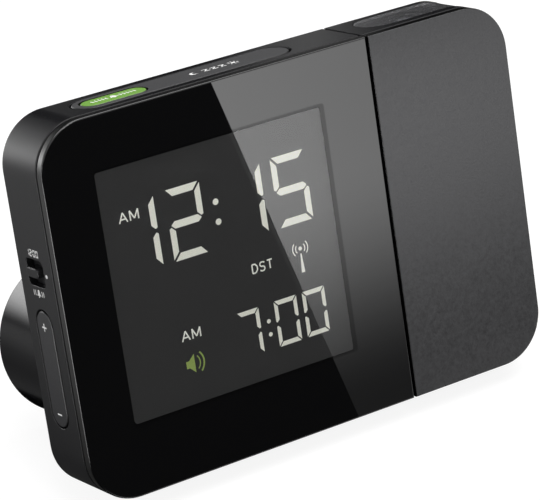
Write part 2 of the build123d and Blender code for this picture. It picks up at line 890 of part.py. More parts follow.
# Rocker: pill key that tips on a cross pin, with a post over each switch
rocker_back = wall + rocker_play + rocker_flange
rocker_throw = rocker_post_z * sin(radians(rocker_swing))
side_tact_tip = side_board_x - tact_thick - plunger_length
with BuildPart() as plus_minus_rocker:
    with BuildSketch(side(-rocker_proud)):
        with Locations((rocker_z, side_y)):
            SlotOverall(rocker_length, rocker_width)
    extrude(amount=-rocker_proud - rocker_back)
    fillet(plus_minus_rocker.faces().sort_by(Axis.X)[0].edges(), edge_round)
    with BuildSketch(side(rocker_back)):
        with Locations((rocker_z, side_y)):
            SlotOverall(rocker_length + 2 * rocker_lip, 2 * flange_half)
    extrude(amount=rocker_flange)
    with BuildSketch(side(rocker_back)):
        with Locations(*side_tacts):
            Circle(post_radius)
    extrude(amount=rocker_back + rocker_throw + press_gap - side_tact_tip)
    with BuildSketch(front(side_y - ear_inner - ear_thick)):
        with Locations((rocker_pivot_x, rocker_z)):
            Circle(pin_radius)
    extrude(amount=-2 * (ear_inner + ear_thick))
keep(plus_minus_rocker, "plus_minus_rocker")

# Mode knob: lug in the slot, a plate that keeps the slot dark, and a tail into the switch
knob_back = wall + key_rest_gap + knob_plate
plate_height = slot_height + 2 * (knob_travel + knob_overlap)
plate_width = slot_width + 2 * knob_overlap
with BuildPart() as mode_knob:
    with BuildSketch(side(-knob_proud)):
        with Locations((slot_z, knob_y)):
            SlotOverall(knob_width, knob_height, rotation=90)
    extrude(amount=-knob_proud - knob_back)
    fillet(mode_knob.faces().sort_by(Axis.X)[0].edges(), edge_round)
    with BuildSketch(side(knob_back)):
        with Locations((slot_z, side_y)):
            Rectangle(plate_height, plate_width)
    extrude(amount=knob_plate)
    with BuildSketch(side(knob_back)):
        with Locations((slot_z, side_y)):
            Rectangle(2 * tail_half_height, 2 * tail_half_width)
    extrude(amount=-tail_reach)
keep(mode_knob, "mode_knob")

# Slide switch on the side board, with a trough for the knob's tail
trough_deep = tail_reach + knob_back - side_board_x + switch_thick + switch_gap
with BuildPart() as slide_switch:
    with BuildSketch(side(side_board_x)):
        with Locations((slot_z, side_y)):
            Rectangle(2 * switch_half_height, 2 * switch_half_width)
    extrude(amount=switch_thick)
    with BuildSketch(side(side_board_x - switch_thick)):
        with Locations((slot_z, side_y)):
            Rectangle(
                2 * (tail_half_height + knob_travel + switch_gap),
                2 * (tail_half_width + switch_gap),
            )
    extrude(amount=-trough_deep, mode=Mode.SUBTRACT)
keep(slide_switch, "slide_switch")

# Aerial: ferrite rod in the shell's cradles, with its coil
with BuildPart() as aerial_rod:
    with BuildSketch(side(rod_x - rod_length / 2)):
        with Locations((rod_z, rod_y)):
            Circle(rod_radius)
    extrude(amount=-rod_length)
keep(aerial_rod, "aerial_rod")

with BuildPart() as aerial_coil:
    with BuildSketch(side(coil_x - coil_length / 2)):
        with Locations((rod_z, rod_y)):
            Circle(coil_radius)
            Circle(rod_radius + slip / 2, mode=Mode.SUBTRACT)
    extrude(amount=-coil_length)
keep(aerial_coil, "aerial_coil")

# Adaptor inlet: block on the main board, its round mouth through the rear cover, a pin in the bore
with BuildPart() as adaptor_inlet:
    with BuildSketch(front(board_back)):
        with Locations((inlet_x, inlet_z)):
            Rectangle(2 * inlet_block_half, 2 * inlet_block_half)
    extrude(amount=board_back - cover_front)
    with BuildSketch(front(cover_front)):
        with Locations((inlet_x, inlet_z)):
            Circle(inlet_radius)
    extrude(amount=-cover_thick)
    with BuildSketch(front(slab_depth)):
        with Locations((inlet_x, inlet_z)):
            Circle(inlet_bore)
    extrude(amount=inlet_deep, mode=Mode.SUBTRACT)
    with BuildSketch(front(slab_depth - inlet_deep)):
        with Locations((inlet_x, inlet_z)):
            Circle(inlet_pin_radius)
    extrude(amount=inlet_pin_setback - inlet_deep)
keep(adaptor_inlet, "adaptor_inlet")

# Pivot bush in the seam wall, its flange in the seam
bush_inner_end = panel_width - pivot_boss_length
with BuildPart() as pivot_bush:
    with BuildSketch(side(bush_inner_end)):
        with Locations((pivot_z, pivot_y)):
            Circle(bush_radius)
    extrude(amount=-pivot_boss_length)
    with BuildSketch(side(panel_width)):
        with Locations((pivot_z, pivot_y)):
            Circle(bush_flange_radius)
    extrude(amount=-bush_flange)
    with BuildSketch(side(bush_inner_end)):
        with Locations((pivot_z, pivot_y)):
            Circle(axle_radius + axle_fit)
    extrude(amount=-pivot_boss_length - bush_flange, mode=Mode.SUBTRACT)
keep(pivot_bush, "pivot_bush")

# Pivot axle: hollow shaft with a flange inside the arm and a groove for its clip
washer_start = bush_inner_end - end_play - washer_thick
clip_start = washer_start - end_play - clip_thick
axle_start = clip_start - end_play - axle_tail
with BuildPart() as pivot_axle:
    with BuildSketch(side(axle_start)):
        with Locations((pivot_z, pivot_y)):
            Circle(axle_radius)
    extrude(amount=axle_start - arm_left - wall)
    with BuildSketch(side(arm_left + wall)):
        with Locations((pivot_z, pivot_y)):
            Circle(axle_flange_radius)
    extrude(amount=-axle_flange)
    with BuildSketch(side(clip_start - end_play)):
        with Locations((pivot_z, pivot_y)):
            Circle(axle_radius)
            Circle(axle_radius - clip_groove, mode=Mode.SUBTRACT)
    extrude(amount=-clip_thick - 2 * end_play, mode=Mode.SUBTRACT)
    with BuildSketch(side(axle_start)):
        with Locations((pivot_z, pivot_y)):
            Circle(axle_bore)
    extrude(amount=axle_start - arm_left - wall - axle_flange, mode=Mode.SUBTRACT)
keep(pivot_axle, "pivot_axle")

with BuildPart() as pivot_washer:
    with BuildSketch(side(washer_start)):
        with Locations((pivot_z, pivot_y)):
            Circle(washer_radius)
            Circle(axle_radius + axle_fit, mode=Mode.SUBTRACT)
    extrude(amount=-washer_thick)
keep(pivot_washer, "pivot_washer")

with BuildPart() as pivot_clip:
    with BuildSketch(side(clip_start)):
        with Locations((pivot_z, pivot_y)):
            Circle(clip_radius)
            Circle(axle_radius - clip_groove + axle_fit, mode=Mode.SUBTRACT)
            Rectangle(clip_radius, clip_mouth, align=(Align.MIN, Align.CENTER), mode=Mode.SUBTRACT)
    extrude(amount=-clip_thick)
keep(pivot_clip, "pivot_clip")

# Arm front panel: plain matte plate, level with the display half's panel
with BuildPart() as arm_front_panel:
    with BuildSketch(front(0)):
        add(arm_outline(0))
    extrude(amount=-plate_thick)
    fillet(arm_front_panel.faces().sort_by(toward_front)[-1].outer_wire().edges(), edge_round)
keep(arm_front_panel, "arm_front_panel")

with BuildPart() as arm_carrier:
    with BuildSketch(front(plate_thick)):
        add(arm_outline(carrier_inset))
    extrude(amount=plate_thick - carrier_back)
keep(arm_carrier, "arm_carrier")

# Arm shell: side walls of the arm, with the window opening and a hole for the axle
with BuildPart() as arm_shell:
    with BuildSketch(front(shell_front)):
        add(arm_outline(0))
    extrude(amount=shell_front - slab_depth)
    fillet(arm_shell.faces().sort_by(toward_front)[0].outer_wire().edges(), back_round)
    fillet(arm_shell.faces().sort_by(toward_front)[-1].outer_wire().edges(), front_round)
    with BuildSketch(front(shell_front)):
        add(arm_outline(wall))
    extrude(amount=shell_front - slab_depth, mode=Mode.SUBTRACT)
    add(shade_strip(0, wall, shade_fit).part, mode=Mode.SUBTRACT)
    with BuildSketch(front(cover_front)):
        with Locations(*arm_bosses):
            Circle(boss_radius)
    extrude(amount=boss_length)
    with BuildSketch(front(cover_front)):
        with Locations(*arm_bosses):
            Circle(screw_radius + screw_fit)
    extrude(amount=screw_length, mode=Mode.SUBTRACT)
    with BuildSketch(side(arm_left)):
        with Locations((pivot_z, pivot_y)):
            Circle(axle_radius + axle_fit)
    extrude(amount=-wall, mode=Mode.SUBTRACT)
keep(arm_shell, "arm_shell")

# Arm window: smoked strip in that opening, set just below the outer face
arm_window = shade_strip(shade_sink, wall, 0)
keep(arm_window, "arm_window")

# Arm back cover and its screws
with BuildPart() as arm_back_cover:
    with BuildSketch(front(cover_front)):
        add(arm_outline(carrier_inset))
    extrude(amount=-cover_thick)
    with BuildSketch(front(cover_front)):
        with Locations(*arm_bosses):
            Circle(screw_radius + slip)
    extrude(amount=-cover_thick, mode=Mode.SUBTRACT)
    with BuildSketch(front(slab_depth)):
        with Locations(*arm_bosses):
            Circle(head_radius + slip)
    extrude(amount=head_thick, mode=Mode.SUBTRACT)
keep(arm_back_cover, "arm_back_cover")

arm_screws = screws(arm_bosses)
keep(arm_screws, "arm_screws")

# Lamp housing on the back cover: bored block with a seat for the slide at its top
with BuildPart() as lamp_housing:
    with BuildSketch(level(lamp_bottom_z)):
        with Locations((lens_x, lamp_front)):
            Rectangle(lamp_width, cover_front - lamp_front, align=(Align.CENTER, Align.MIN))
        with Locations((lens_x, lens_y)):
            Circle(lamp_bore, mode=Mode.SUBTRACT)
    extrude(amount=barrel_bottom_z - lamp_bottom_z)
    with BuildSketch(level(barrel_bottom_z)):
        with Locations((lens_x, lens_y)):
            Rectangle(slide_size + 2 * slip, slide_size + 2 * slip)
    extrude(amount=-slide_thick, mode=Mode.SUBTRACT)
keep(lamp_housing, "lamp_housing")

with BuildPart() as projector_slide:
    with BuildSketch(level(barrel_bottom_z)):
        with Locations((lens_x, lens_y)):
            Rectangle(slide_size, slide_size)
    extrude(amount=-slide_thick)
keep(projector_slide, "projector_slide")

with BuildPart() as lamp_board:
    with BuildSketch(level(lamp_bottom_z)):
        with Locations((lens_x, lamp_front)):
            Rectangle(
                lamp_width + 2 * lamp_board_margin,
                cover_front - lamp_front - slip,
                align=(Align.CENTER, Align.MIN),
            )
    extrude(amount=-lamp_board_thick)
keep(lamp_board, "lamp_board")

# Projector lamp: domed diode standing on its board inside the housing's bore
with BuildPart() as projector_lamp:
    with BuildSketch(level(lamp_bottom_z)):
        with Locations((lens_x, lens_y)):
            Circle(led_base_radius)
    extrude(amount=led_base)
    with BuildSketch(level(lamp_bottom_z + led_base)):
        with Locations((lens_x, lens_y)):
            Circle(led_radius)
    extrude(amount=led_length + led_radius)
    fillet(projector_lamp.faces().sort_by(up_slab)[-1].edges(), led_radius - slip)
keep(projector_lamp, "projector_lamp")

# Lens barrel: tube on the housing with a ledge for the lens near its mouth
barrel_top_z = clock_height - wall - barrel_top_gap
lens_seat_z = barrel_top_z - lens_edge - lens_crown
with BuildPart() as lens_barrel:
    with BuildSketch(level(barrel_bottom_z)):
        with Locations((lens_x, lens_y)):
            Circle(barrel_radius)
    extrude(amount=barrel_top_z - barrel_bottom_z)
    with BuildSketch(level(barrel_bottom_z)):
        with Locations((lens_x, lens_y)):
            Circle(lens_radius - lens_seat)
    extrude(amount=barrel_top_z - barrel_bottom_z, mode=Mode.SUBTRACT)
    with BuildSketch(level(lens_seat_z)):
        with Locations((lens_x, lens_y)):
            Circle(barrel_bore)
    extrude(amount=barrel_top_z - lens_seat_z, mode=Mode.SUBTRACT)
keep(lens_barrel, "lens_barrel")

# Projector lens: flat-backed disc with a crowned face, turned about the optical axis
lens_centre = level(lens_seat_z).from_local_coords((lens_x, lens_y, 0))
with BuildPart() as projector_lens:
    with BuildSketch(Plane(lens_centre, x_dir=slab.x_dir, z_dir=slab.z_dir)):
        with BuildLine():
            Polyline((0, lens_edge + lens_crown), (0, 0), (lens_radius, 0), (lens_radius, lens_edge))
            TangentArc((0, lens_edge + lens_crown), (lens_radius, lens_edge), tangent=(1, 0))
        make_face()
    revolve(axis=Axis(lens_centre, slab.y_dir))
keep(projector_lens, "projector_lens")
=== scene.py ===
import json

import bpy
import numpy as np
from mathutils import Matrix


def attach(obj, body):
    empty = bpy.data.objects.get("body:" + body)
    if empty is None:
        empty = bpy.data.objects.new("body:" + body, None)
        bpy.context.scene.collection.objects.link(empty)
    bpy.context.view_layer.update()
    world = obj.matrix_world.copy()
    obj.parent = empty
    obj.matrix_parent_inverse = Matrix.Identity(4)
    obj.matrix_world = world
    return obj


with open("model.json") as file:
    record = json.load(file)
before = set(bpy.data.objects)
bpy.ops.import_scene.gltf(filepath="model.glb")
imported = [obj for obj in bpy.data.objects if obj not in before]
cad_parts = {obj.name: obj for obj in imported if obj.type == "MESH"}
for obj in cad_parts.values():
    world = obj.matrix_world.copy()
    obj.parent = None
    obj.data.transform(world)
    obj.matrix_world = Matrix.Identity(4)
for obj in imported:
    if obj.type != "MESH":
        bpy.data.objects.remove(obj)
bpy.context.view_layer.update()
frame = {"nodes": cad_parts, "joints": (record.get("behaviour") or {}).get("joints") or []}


# Light guide, display frame and main board: the stack behind the display. The guide and the frame are
# moulded in white, and the board is green laminate with the control chip soldered on. All are clipped
# or screwed inside the shell.
def shader_group(name, inputs, outputs):
    """Empty shader node group with named float or vector sockets, given as (name, type, default)."""
    group = bpy.data.node_groups.new(name, "ShaderNodeTree")
    for socket_name, kind, default in inputs:
        socket = group.interface.new_socket(socket_name, in_out="INPUT", socket_type=kind)
        if default is not None:
            socket.default_value = default
    for socket_name, kind in outputs:
        group.interface.new_socket(socket_name, in_out="OUTPUT", socket_type=kind)
    return group, group.nodes.new("NodeGroupInput"), group.nodes.new("NodeGroupOutput")


def build_moulded_grain():
    """Group: fine noise for the height of a moulded skin, and a slower mottle mixed with it for flecks."""
    group, entry, leave = shader_group(
        "moulded_grain",
        [("Vector", "NodeSocketVector", None), ("Scale", "NodeSocketFloat", 3000.0)],
        [("Height", "NodeSocketFloat"), ("Fleck", "NodeSocketFloat")],
    )
    fine = group.nodes.new("ShaderNodeTexNoise")
    fine.inputs["Detail"].default_value = 2.0
    fine.inputs["Roughness"].default_value = 0.6
    slower = group.nodes.new("ShaderNodeMath")
    slower.operation = "MULTIPLY"
    slower.inputs[1].default_value = 0.45
    mottle = group.nodes.new("ShaderNodeTexNoise")
    mottle.inputs["Detail"].default_value = 3.0
    blend = group.nodes.new("ShaderNodeMix")
    blend.inputs["Factor"].default_value = 0.55
    join = group.links.new
    join(entry.outputs["Vector"], fine.inputs["Vector"])
    join(entry.outputs["Scale"], fine.inputs["Scale"])
    join(entry.outputs["Scale"], slower.inputs[0])
    join(entry.outputs["Vector"], mottle.inputs["Vector"])
    join(slower.outputs[0], mottle.inputs["Scale"])
    join(fine.outputs["Fac"], blend.inputs["A"])
    join(mottle.outputs["Fac"], blend.inputs["B"])
    join(fine.outputs["Fac"], leave.inputs["Height"])
    join(blend.outputs["Result"], leave.inputs["Fleck"])
    return group


def build_edge_lightening():
    """Group: a normal rounded over the edges, and a mask of how far it turns from the flat face."""
    group, entry, leave = shader_group(
        "edge_wear_and_highlight",
        [("Radius", "NodeSocketFloat", 0.0002)],
        [("Normal", "NodeSocketVector"), ("Edge", "NodeSocketFloat")],
    )
    rounded = group.nodes.new("ShaderNodeBevel")
    rounded.samples = 6
    flat = group.nodes.new("ShaderNodeNewGeometry")
    agree = group.nodes.new("ShaderNodeVectorMath")
    agree.operation = "DOT_PRODUCT"
    mask = group.nodes.new("ShaderNodeMapRange")
    mask.inputs["From Min"].default_value = 0.985
    mask.inputs["From Max"].default_value = 0.8
    join = group.links.new
    join(entry.outputs["Radius"], rounded.inputs["Radius"])
    join(rounded.outputs["Normal"], agree.inputs[0])
    join(flat.outputs["Normal"], agree.inputs[1])
    join(agree.outputs["Value"], mask.inputs["Value"])
    join(rounded.outputs["Normal"], leave.inputs["Normal"])
    join(mask.outputs["Result"], leave.inputs["Edge"])
    return group


moulded_grain = build_moulded_grain()
edge_wear_and_highlight = build_edge_lightening()


def placed(tree, group, **values):
    """A node group placed in a material's tree with its own values."""
    node = tree.nodes.new("ShaderNodeGroup")
    node.node_tree = group
    for name, value in values.items():
        node.inputs[name].default_value = value
    return node


def moulded(name, colour, rough, grain=0.3, depth=0.006, fleck=0.08, spread=0.05, edge=0.0, gloss=0.5):
    """Moulded plastic: flecks drift the colour and the roughness, grain is a bump and the edges are
    lightened.

    Grain and depth are the grain's size and height in millimetres. Fleck is the share that the colour drifts
    by, spread the drift of the roughness, edge the lightening of the edges, partly wear and partly a painted
    highlight, and gloss the level of the reflection.
    """
    edge_radius = 0.15
    material = bpy.data.materials.new(name)
    material.use_nodes = True
    tree = material.node_tree
    shader = tree.nodes["Principled BSDF"]
    place = tree.nodes.new("ShaderNodeTexCoord")
    skin = placed(tree, moulded_grain, Scale=1000.0 / grain)
    edge_rounding = placed(tree, edge_wear_and_highlight, Radius=edge_radius / 1000)
    tint = tree.nodes.new("ShaderNodeMix")
    tint.data_type = "RGBA"
    wear_and_highlight = tree.nodes.new("ShaderNodeMix")
    wear_and_highlight.data_type = "RGBA"
    drift = tree.nodes.new("ShaderNodeMapRange")
    bump = tree.nodes.new("ShaderNodeBump")
    shader.inputs["Specular IOR Level"].default_value = gloss
    base = np.array(colour)
    tint.inputs["A"].default_value = (*(base * (1 - fleck)), 1)
    tint.inputs["B"].default_value = (*(base * (1 + fleck)), 1)
    # the edges' colour: lighter, partly as wear and partly as a painted highlight
    wear_and_highlight.inputs["B"].default_value = (*np.clip(base * (1 + edge) + 0.02 * edge, 0, 1), 1)
    drift.inputs["From Min"].default_value = 0.3
    drift.inputs["From Max"].default_value = 0.7
    drift.inputs["To Min"].default_value = rough - spread
    drift.inputs["To Max"].default_value = rough + spread
    bump.inputs["Strength"].default_value = 0.6
    bump.inputs["Distance"].default_value = depth / 1000
    join = tree.links.new
    join(place.outputs["Object"], skin.inputs["Vector"])
    join(skin.outputs["Fleck"], tint.inputs["Factor"])
    join(tint.outputs["Result"], wear_and_highlight.inputs["A"])
    join(edge_rounding.outputs["Edge"], wear_and_highlight.inputs["Factor"])
    join(wear_and_highlight.outputs["Result"], shader.inputs["Base Color"])
    join(skin.outputs["Fleck"], drift.inputs["Value"])
    join(drift.outputs["Result"], shader.inputs["Roughness"])
    join(skin.outputs["Height"], bump.inputs["Height"])
    join(edge_rounding.outputs["Normal"], bump.inputs["Normal"])
    join(bump.outputs["Normal"], shader.inputs["Normal"])
    return material


def dress(material, *names):
    """Give CAD nodes a material in their only slot."""
    for name in names:
        mesh = frame["nodes"][name].data
        mesh.materials.clear()
        mesh.materials.append(material)


def laminate(name, mask_colour, trace_colour, pitch):
    """Green board: solder mask over copper traces, drawn as noise-bent bands at a pitch in millimetres."""
    material = moulded(name, mask_colour, 0.38, grain=0.5, depth=0.004)
    tree = material.node_tree
    shader = tree.nodes["Principled BSDF"]
    place = tree.nodes.new("ShaderNodeTexCoord")
    bands = tree.nodes.new("ShaderNodeTexWave")
    bands.bands_direction = "DIAGONAL"
    bands.inputs["Scale"].default_value = 1000.0 / pitch / 6.3
    bands.inputs["Distortion"].default_value = 6.0
    cut = tree.nodes.new("ShaderNodeMapRange")
    cut.inputs["From Min"].default_value = 0.78
    cut.inputs["From Max"].default_value = 0.86
    traces = tree.nodes.new("ShaderNodeMix")
    traces.data_type = "RGBA"
    traces.inputs["B"].default_value = (*trace_colour, 1)
    mask = shader.inputs["Base Color"].links[0].from_socket
    join = tree.links.new
    join(place.outputs["Object"], bands.inputs["Vector"])
    join(bands.outputs["Fac"], cut.inputs["Value"])
    join(cut.outputs["Result"], traces.inputs["Factor"])
    join(mask, traces.inputs["A"])
    join(traces.outputs["Result"], shader.inputs["Base Color"])
    return material


board_green = laminate("board_green", (0.02, 0.13, 0.05), (0.05, 0.24, 0.09), 1.6)
inner_white = moulded("inner_white", (0.75, 0.75, 0.73), 0.45, grain=0.4, depth=0.004)
chip_black = moulded("chip_black", (0.02, 0.02, 0.02), 0.5, grain=0.12, depth=0.004, edge=0.6)
dress(inner_white, "light_guide", "lcd_frame")
dress(board_green, "main_board", "top_key_board", "side_key_board", "lamp_board")
dress(chip_black, "control_chip", "tact_switches", "lamp_housing", "lens_barrel", "adaptor_inlet")

# Display: negative liquid crystal cell, two sheets of glass with a dark polariser, lit from behind. The
# lit field and its signs are thin films on the cell's front, in the air gap behind the window.
cell_front = 2.25
field_film = 0.02
sign_film = 0.03
field_left, field_right = 13.0, 78.3
field_low, field_high = 17.4, 80.9

# places on the leaning slab: x runs right from its left side, y into the depth from its front face and z up
# it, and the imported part's joints give its lean and its corner
joints = {joint["name"]: joint for joint in frame["joints"]}
slab_right = np.array([1.0, 0.0, 0.0])
slab_deep = np.array(joints["rocker_tip"]["axis"])
slab_up = np.array(joints["mode_slide"]["axis"])
pivot_on_slab = (93.7, 9.85, 47.0)
pivot_place = np.array(joints["arm_swivel"]["pos_m"])


def slab_step(x, y, z):
    """Step along the slab in metres: right, deep and up by the given millimetres."""
    return (slab_right * x + slab_deep * y + slab_up * z) / 1000


def on_slab(x, y, z):
    """Place of a point of the slab: the slab's corner plus the step to the point."""
    return pivot_place - slab_step(*pivot_on_slab) + slab_step(x, y, z)


def bar(start, end, width, taper=1.0):
    """Straight stroke between two points: points on its centre line, moved half a width to either side."""
    start, end = np.array(start, float), np.array(end, float)
    along = (end - start) / np.linalg.norm(end - start)
    across = np.array([-along[1], along[0]])
    half = np.array([width, width * taper]) / 2
    line = np.stack([start, end])
    return np.stack([line - across * half[:, None], line + across * half[:, None]])


def arc(centre, radius, width, start, end, count=17):
    """Round stroke: rows are the inner and outer radius, columns step through the angle in degrees."""
    angle = np.radians(np.linspace(start, end, count))
    spoke = np.stack([np.cos(angle), np.sin(angle)], -1)
    radii = np.array([radius + width / 2, radius - width / 2])
    return np.array(centre) + radii[:, None, None] * spoke


def dot(centre, radius, count=9):
    """Round spot: a square grid drawn to a disc, each side shortened as the other grows."""
    u, v = np.meshgrid(np.linspace(-1, 1, count), np.linspace(-1, 1, count))
    disc = np.stack([u * np.sqrt(1 - v**2 / 2), v * np.sqrt(1 - u**2 / 2)], -1)
    return np.array(centre) + radius * disc


def quad(low_left, low_right, high_left, high_right):
    """Four-cornered patch from its corners."""
    return np.array([[low_left, low_right], [high_left, high_right]], float)


lit_segments = {"0": "abcdef", "1": "bc", "2": "abdeg", "5": "acdfg", "7": "abc"}


def digit(character, left, right, low, high, stroke, gap, parting):
    """Seven-segment digit: strokes along a box's sides and one across its middle.

    Strokes meet at mitred corners parted by a gap. The upright ones are slimmer and run to a point near the
    middle, parted from it by the given distance, and the middle one is pointed at both ends between them.
    """
    middle = (low + high) / 2
    slim, tip = 0.88 * stroke, 0.05 * stroke
    nose = 0.35 * slim
    steps = np.array([0, nose, slim])
    inward = np.array([0.6 * nose, 0, slim - nose])

    def upright(side, inner, end, sign):
        """Upright stroke from its mitred end to its point: columns step from the outer side inwards."""
        across = side + inner * steps
        corner = end - sign * (gap + steps * stroke / slim)
        point = middle + sign * (parting + inward)
        return np.stack([np.stack([across, corner], -1), np.stack([across, point], -1)])[::int(inner * sign)]

    segments = {
        "a": quad((left + slim + gap, high - stroke), (right - slim - gap, high - stroke),
                  (left + gap, high), (right - gap, high)),
        "d": quad((left + gap, low), (right - gap, low),
                  (left + slim + gap, low + stroke), (right - slim - gap, low + stroke)),
        "b": upright(right, -1, high, 1),
        "c": upright(right, -1, low, -1),
        "e": upright(left, 1, low, -1),
        "f": upright(left, 1, high, 1),
    }
    start, stop = left + nose + gap / 3, right - nose - gap / 3
    ends = np.array([start, start + stroke / 2, stop - stroke / 2, stop])
    half = np.array([tip, stroke / 2, stroke / 2, tip])
    segments["g"] = np.stack([np.stack([ends, middle - half], -1), np.stack([ends, middle + half], -1)])
    return [segments[letter] for letter in lit_segments[character]]


def marks(name, patches, corner, across, upward, thick, material):
    """Raised flat marks: each patch is a grid of millimetre points on a plane, lifted by a thickness.

    The lifted grid is the face, the same grid on the plane is the back, and walls join their borders.
    """
    outward = np.cross(across, upward)
    points, faces, start = [], [], 0
    for patch in patches:
        rows, columns = patch.shape[:2]
        count = rows * columns
        flat = patch.reshape(-1, 2)
        back = corner + (flat[:, :1] * across + flat[:, 1:] * upward) / 1000
        index = np.arange(count).reshape(rows, columns)
        quads = np.stack([index[:-1, :-1], index[:-1, 1:], index[1:, 1:], index[1:, :-1]], -1).reshape(-1, 4)
        border = np.concatenate([index[0, :-1], index[:-1, -1], index[-1, :0:-1], index[:0:-1, 0]])
        after = np.roll(border, -1)
        walls = np.stack([border + count, after + count, after, border], -1)
        points.append(np.concatenate([back + outward * thick / 1000, back]))
        faces.append(np.concatenate([quads, quads[:, ::-1] + count, walls]) + start)
        start += 2 * count
    mesh = bpy.data.meshes.new(name)
    mesh.from_pydata(np.concatenate(points).tolist(), [], np.concatenate(faces).tolist())
    mesh.materials.append(material)
    piece = bpy.data.objects.new(name, mesh)
    bpy.context.scene.collection.objects.link(piece)
    return piece


def glowing(name, colour, strength, drift, cells):
    """Lit film: colour and glow drift with a slow noise, as the light guide behind it does."""
    material = bpy.data.materials.new(name)
    material.use_nodes = True
    tree = material.node_tree
    shader = tree.nodes["Principled BSDF"]
    place = tree.nodes.new("ShaderNodeTexCoord")
    cloud = tree.nodes.new("ShaderNodeTexNoise")
    cloud.inputs["Scale"].default_value = 1000.0 / cells
    tint = tree.nodes.new("ShaderNodeMix")
    tint.data_type = "RGBA"
    base = np.array(colour)
    tint.inputs["A"].default_value = (*(base * (1 - drift)), 1)
    tint.inputs["B"].default_value = (*np.clip(base * (1 + drift), 0, 1), 1)
    drift_rough = tree.nodes.new("ShaderNodeMapRange")
    drift_rough.inputs["To Min"].default_value = 0.4
    drift_rough.inputs["To Max"].default_value = 0.55
    shader.inputs["Emission Strength"].default_value = strength
    shader.inputs["Specular IOR Level"].default_value = 0.0
    join = tree.links.new
    join(place.outputs["Object"], cloud.inputs["Vector"])
    join(cloud.outputs["Fac"], tint.inputs["Factor"])
    join(tint.outputs["Result"], shader.inputs["Base Color"])
    join(tint.outputs["Result"], shader.inputs["Emission Color"])
    join(cloud.outputs["Fac"], drift_rough.inputs["Value"])
    join(drift_rough.outputs["Result"], shader.inputs["Roughness"])
    return material


def film(name, patches, depth, thick, material):
    """Film on the display's front: its back lies at a depth behind the slab's front face."""
    piece = marks(name, patches, on_slab(0, depth, 0), slab_right, slab_up, thick, material)
    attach(piece, "clock_body")
    return piece


field_glow = glowing("field_glow", (0.023, 0.023, 0.023), 1.0, 0.05, 9.0)
sign_glow = glowing("sign_glow", (0.55, 0.55, 0.49), 0.81, 0.03, 4.0)
small_glow = glowing("small_glow", (0.5, 0.5, 0.46), 0.95, 0.03, 4.0)
green_glow = glowing("green_glow", (0.155, 0.205, 0.06), 1.05, 0.05, 4.0)

field_grid = np.stack(np.meshgrid(np.linspace(field_left, field_right, 5),
                                  np.linspace(field_low, field_high, 5)), -1)
film("display_field", [field_grid], cell_front, field_film, field_glow)

sign_depth = cell_front - field_film
large_low, large_high, large_stroke, large_gap = 53.25, 71.0, 1.82, 0.42
parting = 0.44
large_boxes = [("1", 19.4, 28.85), ("2", 31.95, 41.75), ("1", 49.5, 59.0), ("5", 62.1, 72.1)]
time_signs = [patch for sign, left, right in large_boxes
              for patch in digit(sign, left, right, large_low, large_high, large_stroke, large_gap, parting)]
large_colon_x, large_colon_heights, large_colon_radius = 45.5, (64.65, 59.65), 0.8
time_signs += [dot((large_colon_x, height), large_colon_radius) for height in large_colon_heights]
film("time_signs", time_signs, sign_depth, sign_film, sign_glow)

small_low, small_high, small_stroke, small_gap = 24.2, 35.9, 1.15, 0.22
small_boxes = [("7", 46.5, 52.8), ("0", 57.3, 63.9), ("0", 65.6, 72.2)]
alarm_signs = [patch for sign, left, right in small_boxes
               for patch in digit(sign, left, right, small_low, small_high, small_stroke, small_gap, parting)]
small_colon_x, small_colon_heights, small_colon_radius = 55.2, (31.5, 28.15), 0.55
alarm_signs += [dot((small_colon_x, height), small_colon_radius) for height in small_colon_heights]
film("alarm_signs", alarm_signs, sign_depth, sign_film, sign_glow)

letter_strokes = {
    "A": [((0, 0), (0.5, 1)), ((0.5, 1), (1, 0)), ((0.2, 0.34), (0.8, 0.34))],
    "M": [((0, 0), (0, 1)), ((0, 1), (0.5, 0.15)), ((0.5, 0.15), (1, 1)), ((1, 1), (1, 0))],
    "D": [((0, 0), (0, 1)), ((0, 1), (0.6, 1)), ((0.6, 1), (1, 0.7)), ((1, 0.7), (1, 0.3)),
          ((1, 0.3), (0.6, 0)), ((0.6, 0), (0, 0))],
    "S": [((0, 0.12), (0.3, 0)), ((0.3, 0), (0.75, 0)), ((0.75, 0), (1, 0.25)), ((1, 0.25), (0.75, 0.5)),
          ((0.75, 0.5), (0.25, 0.52)), ((0.25, 0.52), (0, 0.76)), ((0, 0.76), (0.25, 1)),
          ((0.25, 1), (0.7, 1)), ((0.7, 1), (1, 0.9))],
    "T": [((0.5, 0), (0.5, 1)), ((0, 1), (1, 1))],
    "Z": [((1, 0), (0, 0)), ((0, 0), (1, 1)), ((1, 1), (0, 1))],
}


def lettering(word, left, low, width, height, stroke, gap):
    """Short generic sign in stroke letters, each in its own share of the width."""
    letter_width = (width - gap * (len(word) - 1)) / len(word)
    corners = left + np.arange(len(word)) * (letter_width + gap)
    size = np.array([letter_width, height])
    return [bar(np.array([corner, low]) + size * start, np.array([corner, low]) + size * end, stroke)
            for corner, letter in zip(corners, word) for start, end in map(np.array, letter_strokes[letter])]


# each word with its left and low edge, its width and height and the gap between its letters
word_stroke = 0.36
word_boxes = [("AM", 18.95, 66.35, 5.3, 2.45, 0.8), ("AM", 30.65, 33.45, 5.2, 2.45, 0.8),
              ("DST", 52.8, 44.4, 5.8, 2.2, 0.75)]
word_signs = [patch for word, left, low, width, height, gap in word_boxes
              for patch in lettering(word, left, low, width, height, word_stroke, gap)]
film("word_signs", word_signs, sign_depth, sign_film, small_glow)

